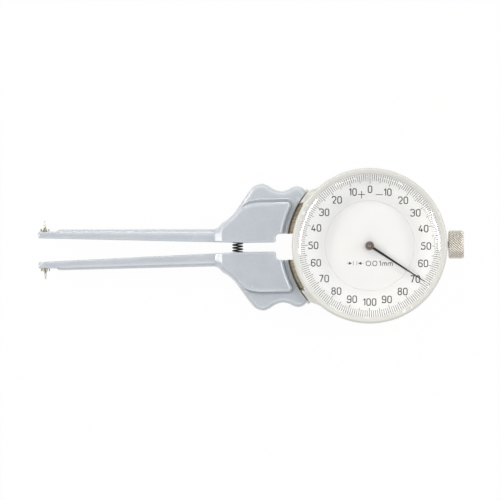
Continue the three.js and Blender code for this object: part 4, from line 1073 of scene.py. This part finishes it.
def make_contacts():
    face = float(outer_edge(CONTACT_REACH)) - BOSS_STEP + CONTACT_LIFT
    pin = revolved(filleted(PIN_PROFILE, PIN_ROUNDS), 32)
    bore, rim = COLLAR_RADII
    collar = revolved(filleted([(bore, 0), (rim, 0), (rim, COLLAR_HEIGHT), (bore, COLLAR_HEIGHT)],
                               COLLAR_ROUND, closed=True), 48)
    place = (-CONTACT_REACH, face, ARM_MIDDLE)
    pin, collar = moved(along_y(pin), *place), moved(along_y(collar), *place)
    ring = plain_object("collar_shape", collar)
    carved(ring, "DIFFERENCE", moved(box(*COLLAR_SLOT), *place))
    collar = taken_shape(ring)
    for side in ("upper", "lower"):
        body = f"{side}_jaw"
        mesh_piece(f"{side}_contact_point", pin, body, "steel", [f"{side}_contact_pin"],
                   look="pin_steel")
        mesh_piece(f"{side}_slotted_collar", collar, body, "steel", [f"{side}_contact_collar"],
                   look="collar_steel")
        pin, collar = mirrored(pin), mirrored(collar)


def make_spring():
    steps = round(SPRING_TURNS * SPRING_STEPS)
    line = []
    for i in range(steps + 1):
        x, z = polar(SPRING_RADIUS, TAU * i / SPRING_STEPS)
        line.append((x - SPRING_REACH, SPRING_HALF * (2 * i / steps - 1), z + ARM_MIDDLE))
    coil = plain_object("return_spring_coil", tube(line, SPRING_WIRE / 2, 12))
    dress(coil, "gauge_case", "spring_steel", ["return_spring"], 50)
    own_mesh(coil)


# Case, bezel and crystal

def bezel_tooth(radius, level, angle):
    """Fine teeth round the bezel's skirt."""
    if radius < BEZEL_RADIUS - 0.01:
        return radius
    share = angle * BEZEL_TEETH / TAU % 1
    return radius - BEZEL_TOOTH_DEPTH * abs(2 * share - 1)


def make_bezel():
    r, low, top = BEZEL_RADIUS, BEZEL_LOW, BEZEL_TOP
    corners = [
        (BEZEL_BORE, low), (r - 0.3, low), (r - 0.3, low + 0.5), (r, low + 0.7), (r, top - 2.2),
        (r - 0.25, top - 2.0), (r - 0.2, top - 1.0), (r - 0.55, top - 0.35), (r - 0.95, top - 0.1),
        (BEZEL_OPENING + 0.3, top - 0.55), (BEZEL_OPENING, top - 0.9), (BEZEL_OPENING, LIP_LEVEL),
        (BEZEL_BORE, LIP_LEVEL),
    ]
    rounds = [0, 0.1, 0.05, 0, 0, 0.05, 0.5, 0.6, 0.8, 0.15, 0.1, 0.05, 0]
    profile = filleted(corners, rounds, closed=True)
    mesh_piece("knurled_bezel", revolved(profile, 4 * BEZEL_TEETH, bezel_tooth), "gauge_case",
               "satin_chrome", ["bezel"], 28, "bezel_chrome")


def make_crystal():
    rim, window = BEZEL_BORE - 0.1, BEZEL_OPENING - 0.1
    hollow, edge = CRYSTAL_LOW + 0.48, LIP_LEVEL + CRYSTAL_EDGE
    inset, rise = CRYSTAL_CHAMFER
    corners = [
        (0, hollow), (window - 2.2, hollow), (window, CRYSTAL_LOW), (rim, CRYSTAL_LOW),
        (rim, LIP_LEVEL), (window, LIP_LEVEL), (window, edge), (window - inset, edge + rise),
        (window - 8, CRYSTAL_TOP - 0.06), (0, CRYSTAL_TOP),
    ]
    profile = filleted(corners, [0, 1.5, 0.6, 0.05, 0.1, 0.1, 0.3, 0.5, 20, 0], 8)
    mesh_piece("crystal_window", revolved(profile, ROUND_STEPS), "gauge_case", "crystal",
               ["crystal"], 45)


def make_rings():
    low, high = RETAINER_LEVELS
    rim = BEZEL_BORE - 0.1
    corners = [(BEZEL_OPENING, low), (rim, low), (rim, high), (BEZEL_OPENING, high)]
    profile = filleted(corners, 0.2, closed=True)
    mesh_piece("dial_ring", revolved(profile, ROUND_STEPS), "gauge_case", "dial_paint",
               ["dial_retaining_ring"])


def neck_ear():
    """The neck's ear beside the grip, under the bezel."""
    neck = GRIP_ARC - 0.3
    corner_out = float(outer_edge(GRIP_REACH))
    corner_out += (GRIP_HALF_WIDTH - corner_out) * GRIP_CORNER_SHARE
    corner = math.asin(corner_out / GRIP_ARC) + NECK_PAST_GRIP
    blend = corner + NECK_BLEND_SPAN
    inner_out = TONGUE_OUT + 0.4
    wall = (CASE_RADIUS + CASE_BORE) / 2 + 0.35
    outline = [
        *arc((0, 0), neck, math.pi - math.asin(inner_out / neck), math.pi - corner, 24),
        polar(neck - 0.25, math.pi - corner - 0.02),
        polar(FLANGE_RADIUS + 0.3, math.pi - (corner + blend) / 2),
        polar(FLANGE_RADIUS, math.pi - blend),
        *arc((0, 0), wall, math.pi - blend, math.pi - math.asin(inner_out / wall), 24),
    ]
    return prism(outline, COVER_THICKNESS, FLANGE_LEVELS[2])


def ear_ledge():
    """A thin ledge of the ear under the grip, which closes the view down the gap between them."""
    inner, outer = GRIP_ARC - 1.5, GRIP_ARC + 0.8
    corner = math.pi - math.radians(43)
    start = math.pi - math.asin((TONGUE_OUT - 0.7) / GRIP_ARC)
    outline = [*arc((0, 0), outer, start, corner, 24), *arc((0, 0), inner, corner, start, 24)]
    return prism(outline, COVER_THICKNESS, GRIP_LOW - 0.35)


def make_case():
    low, middle, high = FLANGE_LEVELS
    corners = [
        (CASE_BORE, COVER_THICKNESS), (CASE_RADIUS, COVER_THICKNESS), (CASE_RADIUS, low),
        (FLANGE_RADIUS, middle), (FLANGE_RADIUS, high), (CASE_RADIUS, high),
        (CASE_RADIUS, CASE_TOP), (CASE_BORE, CASE_TOP),
    ]
    profile = filleted(corners, [0, 0.3, 0.4, 0.3, 0.15, 0, 0.1, 0], closed=True)
    case = plain_object("case_shell", revolved(profile, CASE_STEPS))
    for shape in (neck_ear(), ear_ledge()):
        carved(case, "UNION", shape, mirrored(shape))
    bush = moved(along_x(rod(1.95, 20, 30, 48), KNOB_AXIS_LEVEL))
    carved(case, "DIFFERENCE", box(-GRIP_ARC - 1, -10, -17, 17, *LEVER_SLOT_LEVELS), bush)
    dress(case, "gauge_case", "satin_chrome", ["case_body"], 30)


def slotted_screw(head, head_height):
    """A cheese-head screw about Z, its slotted face at level zero and its shank above."""
    end = head_height + SCREW_SHANK_LENGTH
    corners = [(0, 0), (head, 0), (head, head_height), (SCREW_SHANK_RADIUS, head_height),
               (SCREW_SHANK_RADIUS, end), (0, end)]
    made = plain_object("screw_shape", revolved(filleted(corners, [0, 0.15, 0.05, 0, 0, 0]), 40))
    carved(made, "DIFFERENCE", box(*SCREW_SLOT))
    return taken_shape(made)


def make_back():
    corners = [(0, 0), *[(radius, 0) for radius in COVER_RINGS], (CASE_RADIUS - 0.5, 0),
               (CASE_RADIUS, 0.5), (CASE_RADIUS, COVER_THICKNESS), (0, COVER_THICKNESS)]
    profile = filleted(corners, [0, 0, 0, 0, 0.35, 0.35, 0.1, 0])
    cover = plain_object("turned_cover", revolved(profile, CASE_STEPS))
    radius, depth = COVER_HOLE
    hole = rod(radius, -1, depth, 40)
    spots = [polar(COVER_SCREW_RADIUS, math.radians(a)) for a in COVER_SCREW_ANGLES]
    carved(cover, "DIFFERENCE", *[moved(hole, *spot) for spot in spots])
    dress(cover, "gauge_case", "satin_chrome", ["back_cover"], 30)
    screw = slotted_screw(*COVER_SCREW)
    for k, spot in enumerate(spots):
        mesh_piece(f"cover_fixing_{k + 1}", moved(turned_by(screw, 0.7 + 1.3 * k), *spot, 0.1),
                   "gauge_case", "steel", [f"cover_screw_{k + 1}"])
    lever = slotted_screw(*LEVER_SCREW)
    for side in ("upper", "lower"):
        for k in (1, 2):
            node = f"{side}_lever_screw_{k}"
            low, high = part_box(node)
            middle = (low + high) / 2 / MM
            place = (middle.x, middle.y, low.z / MM)
            mesh_piece(f"{side}_lever_fixing_{k}", moved(turned_by(lever, 0.5 + k), *place),
                       f"{side}_jaw", "steel", [node])


# Knob

def knurl(angle, x):
    """Depth of the diamond knurl at a place, from 0 on a point to 1 in a groove."""
    turns = angle * KNURL_COUNT / TAU
    depths = []
    for way, depth in ((1, KNURL_LESSER_SHARE), (-1, 1)):
        share = (turns + way * x / KNURL_LEAD) % 1
        slope = (1 + KNURL_POINT_SHARE) * abs(2 * share - 1) - KNURL_POINT_SHARE
        depths.append(depth * max(0.0, slope))
    return max(depths)


def make_knob():
    r, start, end = KNOB_RADIUS, KNOB_START, KNOB_END
    corners = [(r - 0.8, start), (r - 0.1, start + 0.3), (r, start + 0.9), (r, end - KNOB_ROUND),
               (r - KNOB_ROUND * 0.4, end - 0.1), (r - KNOB_ROUND, end)]
    profile = filleted(corners, [0, 0.3, 0.3, 0.4, 0.3, 0])
    body = []
    for a, b in zip(profile, profile[1:]):
        steps = max(1, round(abs(b[1] - a[1]) / KNURL_SPACING))
        body += [a + (b - a) * k / steps for k in range(steps)]
    floor = end - KNOB_DISH_DEPTH
    dish = [(r - 1.33, end), (r - 1.4, end), *[(r - inset, floor) for inset in KNOB_DISH_RINGS]]
    full = [(0, start), (r - 1, start), *body, profile[-1], *dish, (0, floor)]
    fade_in, fade_out = KNURL_FADES

    def cut(radius, level, angle):
        if radius < r - KNOB_ROUND + 0.05:
            return radius
        ends = smooth_step((level - start) / fade_in) * smooth_step((end - level) / fade_out)
        return radius - KNURL_DEPTH * knurl(angle, level) * float(ends)

    shape = along_x(revolved(full, 8 * KNURL_COUNT, cut), KNOB_AXIS_LEVEL)
    mesh_piece("knurled_knob", shape, "knob", "nickel", ["zero_knob"], 60, "knob_nickel")


# Dial and pointer

# Each letter's strokes in shares of its height. One that comes back to its start is closed.
WIDE = 0.54
GLYPHS = {
    "0": [[(0, 0), (WIDE, 0), (WIDE, 1), (0, 1), (0, 0)]],
    "1": [[(0.08, 0.8), (0.3, 1), (0.3, 0)]],
    "2": [[(0, 0.76), (0, 1), (WIDE, 1), (WIDE, 0.58), (0, 0), (WIDE, 0)]],
    "3": [[(0, 0.8), (0, 1), (WIDE, 1), (WIDE, 0.53), (0.2, 0.53)],
          [(0.2, 0.53), (WIDE, 0.53), (WIDE, 0), (0, 0), (0, 0.2)]],
    "4": [[(0.33, 1), (0, 0.25), (WIDE + 0.06, 0.25)], [(0.4, 0.5), (0.4, 0)]],
    "5": [[(WIDE, 1), (0.04, 1), (0, 0.58), (WIDE, 0.62), (WIDE, 0), (0, 0), (0, 0.2)]],
    "6": [[(WIDE, 0.8), (WIDE, 1), (0, 1), (0, 0), (WIDE, 0), (WIDE, 0.57), (0, 0.57)]],
    "7": [[(0, 1), (WIDE, 1), (0.2, 0)]],
    "8": [[(0.03, 0.53), (WIDE - 0.03, 0.53), (WIDE - 0.03, 1), (0.03, 1), (0.03, 0.53)],
          [(0, 0), (WIDE, 0), (WIDE, 0.53), (0, 0.53), (0, 0)]],
    "9": [[(0, 0.2), (0, 0), (WIDE, 0), (WIDE, 1), (0, 1), (0, 0.43), (WIDE, 0.43)]],
    ".": [[(0, 0), (0, 0.07)]],
    "m": [[(0, 0), (0, 0.66), (0.36, 0.66), (0.36, 0)],
          [(0.36, 0.5), (0.36, 0.66), (0.72, 0.66), (0.72, 0)]],
    "+": [[(0, 0.5), (1, 0.5)], [(0.5, 0), (0.5, 1)]],
    "-": [[(0, 0.5), (1, 0.5)]],
}
ADVANCES = {"1": 0.3, "m": 0.72, ".": 0.0, "+": 1, "-": 1}
CORNER_SHARES = {"7": 0.02, "4": 0.02, "1": 0.01, "2": 0.2}
CORNER_SHARE = 0.24
ROUND_CORNER_SHARE = 0.45


def printed(line, width, closed=False):
    return ribbon(line, width, *PRINT_LEVELS, closed)


def text_shapes(text, middle, height, stroke, gap=0, width_share=1.0, corner=CORNER_SHARE):
    """Flat raised shapes of a short text, centred on a point."""
    tall = height - stroke
    wide = width_share * tall
    advances = [ADVANCES.get(c, WIDE) * wide for c in text]
    x = middle[0] - (sum(advances) + (gap + stroke) * (len(text) - 1)) / 2
    low = middle[1] - tall / 2
    shapes = []
    for letter, advance in zip(text, advances):
        for line in GLYPHS[letter]:
            closed = line[0] == line[-1]
            placed = [(x + px * wide, low + py * tall) for px, py in line[: len(line) - closed]]
            bent = filleted(placed, CORNER_SHARES.get(letter, corner) * tall, 5, closed)
            shapes.append(printed(bent, stroke, closed))
        x += advance + gap + stroke
    return shapes


def tick_shapes():
    shapes = []
    for k in range(DIVISIONS):
        kind = 10 if k % 10 == 0 else 5 if k % 5 == 0 else 1
        angle = TAU * k / DIVISIONS + math.pi / 2
        line = [polar(TICK_INNERS[kind], angle), polar(TICK_OUTER, angle)]
        shapes.append(printed(line, TICK_WIDTHS[kind]))
    return shapes


def mark_shapes():
    """The sign for one division: two bars with an arrow to each."""
    y = READING_LEVEL
    shapes = [printed([(x, y - 0.75), (x, y + 0.75)], 0.15) for x in MARK_BARS]
    for tip, tail in MARK_ARROWS:
        away = 1 if tail > tip else -1
        base = tip + away * ARROW_LENGTH
        shapes.append(printed([(tail, y), (tip + away * 0.6, y)], 0.12))
        shapes.append(prism([(tip, y), (base, y + ARROW_HALF), (base, y - ARROW_HALF)],
                            *PRINT_LEVELS))
    return shapes


def make_dial():
    low, high = DIAL_LEVELS
    disc = high - DIAL_STEP
    wide, deep = DIAL_GROOVE
    corners = [(DIAL_BORE, low), (DIAL_RADIUS, low), (DIAL_RADIUS, high),
               (DIAL_STEP_RADIUS + wide / 2, high), (DIAL_STEP_RADIUS, high - deep),
               (DIAL_STEP_RADIUS - wide / 2, disc), (DIAL_BORE, disc)]
    profile = filleted(corners, [0, 0.05, 0.1, 0.03, 0.03, 0.03, 0.05], closed=True)
    mesh_piece("dial_face", revolved(profile, ROUND_STEPS), "dial", "dial_paint",
               ["dial_plate"], 30)
    shapes = tick_shapes() + mark_shapes()
    for k in range(20):
        spot = polar(NUMBER_RADIUS, math.pi / 2 + TAU * k / 20)
        shapes += text_shapes(str(10 * min(k, 20 - k)), spot, NUMBER_HEIGHT, NUMBER_STROKE,
                              NUMBER_GAP)
    for sign, x in SIGNS:
        shapes += text_shapes(sign, (x, SIGN_LEVEL), SIGN_HEIGHT, SIGN_STROKE)
    for letter, x, width_share in READING:
        stroke = READING_DOT if letter == "." else READING_STROKE
        shapes += text_shapes(letter, (x, READING_LEVEL), READING_HEIGHT, stroke, 0, width_share,
                              ROUND_CORNER_SHARE)
    shapes = [turned_by(shape, PRINT_TURN) for shape in shapes]
    for k, shape in enumerate(shapes):
        if math.hypot(*shape[0][0][:2]) < DIAL_STEP_RADIUS:
            shapes[k] = moved(shape, 0, 0, -DIAL_STEP)
    mesh_piece("dial_print", joined(*shapes), "dial", "black_paint", look="dial_ink")


def make_pointer():
    low, high = POINTER_LEVELS
    blade = [(x, -half) for x, half in NEEDLE_HALVES]
    blade += [(POINTER_REACH, 0), *[(x, half) for x, half in reversed(NEEDLE_HALVES)]]
    ring = revolved([(0.95, low), (1.47, low), (1.47, high), (0.95, high)], 48)
    needle = plain_object("needle_shape", prism(blade, low + 0.01, high - 0.01))
    carved(needle, "UNION", ring)
    mesh_piece("needle", turned_by(taken_shape(needle), POINTER_ANGLE), "pointer", "black_paint",
               ["pointer_needle"])
    corners = [(0, high - 0.7), (0.9, high - 0.7), (0.9, high), (HUB_RADIUS, high),
               (HUB_RADIUS, HUB_TOP - 0.25), (HUB_RADIUS - 0.3, HUB_TOP), (0.62, HUB_TOP),
               (0.5, HUB_TOP - 0.2), (0.3, HUB_TOP - 0.2), (0, HUB_TOP - 0.12)]
    hub = filleted(corners, [0, 0, 0, 0.05, 0.2, 0.2, 0.08, 0.08, 0.1, 0])
    mesh_piece("hub_cap", revolved(hub, 64), "pointer", "hub_metal", ["pointer_hub"], 35)


# Light, floor and camera

def make_world():
    n = Nodes("studio", "worlds")
    bpy.context.scene.world = n.owner
    height = n.part(n.place("Generated"), 2)
    # Brightest round a dim opening overhead, where the camera looks in
    sky = n.ranged(height, LOW_SKY, MIDDLE_SKY, 0.3, 0.6)
    high = n.ranged(height, 1, HIGH_SKY / MIDDLE_SKY, 0.6, 0.88)
    overhead = n.ranged(height, 1, OVERHEAD_SHARE, 0.975, 0.99)
    strength = n.math("MULTIPLY", n.math("MULTIPLY", sky, high), overhead)
    # The room is warmer low down
    tint = n.mix(n.ranged(height, 0, 1, 0.75, 0.45), COOL_TINT, WARM_TINT)
    soft = n.tree.nodes["Background"]
    n.put(soft.inputs["Color"], tint)
    n.put(soft.inputs["Strength"], strength)
    white = n.add("ShaderNodeBackground", {"Color": WHITE, "Strength": 1.0})
    n.blend(n.add("ShaderNodeLightPath").outputs["Is Camera Ray"], soft, white)


def add_lamp(name, azimuth, elevation, size, radiance, tint=LAMP_TINT):
    """A soft box seen from the dial at an azimuth and elevation in degrees."""
    lamp = bpy.data.lights.new(name, "AREA")
    lamp.shape = "RECTANGLE"
    lamp.size, lamp.size_y = size[0] * MM, size[1] * MM
    lamp.color = tint
    lamp.energy = radiance * math.pi * lamp.size * lamp.size_y
    holder = bpy.data.objects.new(name, lamp)
    bpy.context.scene.collection.objects.link(holder)
    out, level = polar(LAMP_DISTANCE, math.radians(elevation))
    holder.location = Vector((*polar(out, math.radians(azimuth)), level)) * MM
    way = Vector(LAMP_TARGET) * MM - holder.location
    holder.rotation_euler = way.to_track_quat("-Z", "Y").to_euler()


def make_floor():
    n = Nodes("floor_white")
    corners = [(x * FLOOR_HALF, y * FLOOR_HALF, FLOOR_LEVEL)
               for x, y in ((-1, -1), (1, -1), (1, 1), (-1, 1))]
    floor = plain_object("floor", (corners, [(0, 1, 2, 3)]))
    tone = n.mix(n.noise(n.place(), 400.0), (0.79, 0.79, 0.79, 1), (0.82, 0.82, 0.82, 1))
    n.surface(Base_Color=tone, Roughness=0.9, Specular_IOR_Level=0.1)
    glow = n.add("ShaderNodeEmission", {"Color": WHITE, "Strength": 1.0})
    rays = n.add("ShaderNodeLightPath").outputs
    seen = n.math("MAXIMUM", rays["Is Glossy Ray"], rays["Is Transmission Ray"])
    seen = n.math("MAXIMUM", rays["Is Camera Ray"], seen)
    floor.data.materials.append(n.blend(n.math("MULTIPLY", seen, FLOOR_GLOW), n.shader, glow))


def make_camera():
    middle_x, middle_y = PHOTO_DIAL_CENTRE
    offset = np.array((PHOTO_SIDE / 2 - middle_x, middle_y - PHOTO_SIDE / 2))
    c, s = math.cos(-PHOTO_TURN), math.sin(-PHOTO_TURN)
    x, y = np.array(((c, -s), (s, c))) @ offset * PHOTO_MM_PER_PIXEL
    data = bpy.data.cameras.new("camera")
    data.type = "ORTHO"
    data.ortho_scale = PHOTO_SIDE * PHOTO_MM_PER_PIXEL * MM
    data.clip_start, data.clip_end = 0.01, 10
    camera = bpy.data.objects.new("camera", data)
    bpy.context.scene.collection.objects.link(camera)
    camera.location = (x * MM, y * MM, CAMERA_HEIGHT * MM)
    camera.rotation_euler = (0, 0, -PHOTO_TURN)
    bpy.context.scene.camera = camera


make_camera()
make_floor()
make_world()
for lamp in LAMPS:
    add_lamp(*lamp)
bpy.context.scene.view_settings.view_transform = "Standard"

dress_nodes()
make_arms()
make_contacts()
make_spring()
make_bezel()
make_crystal()
make_rings()
make_case()
make_back()
make_knob()
make_dial()
make_pointer()
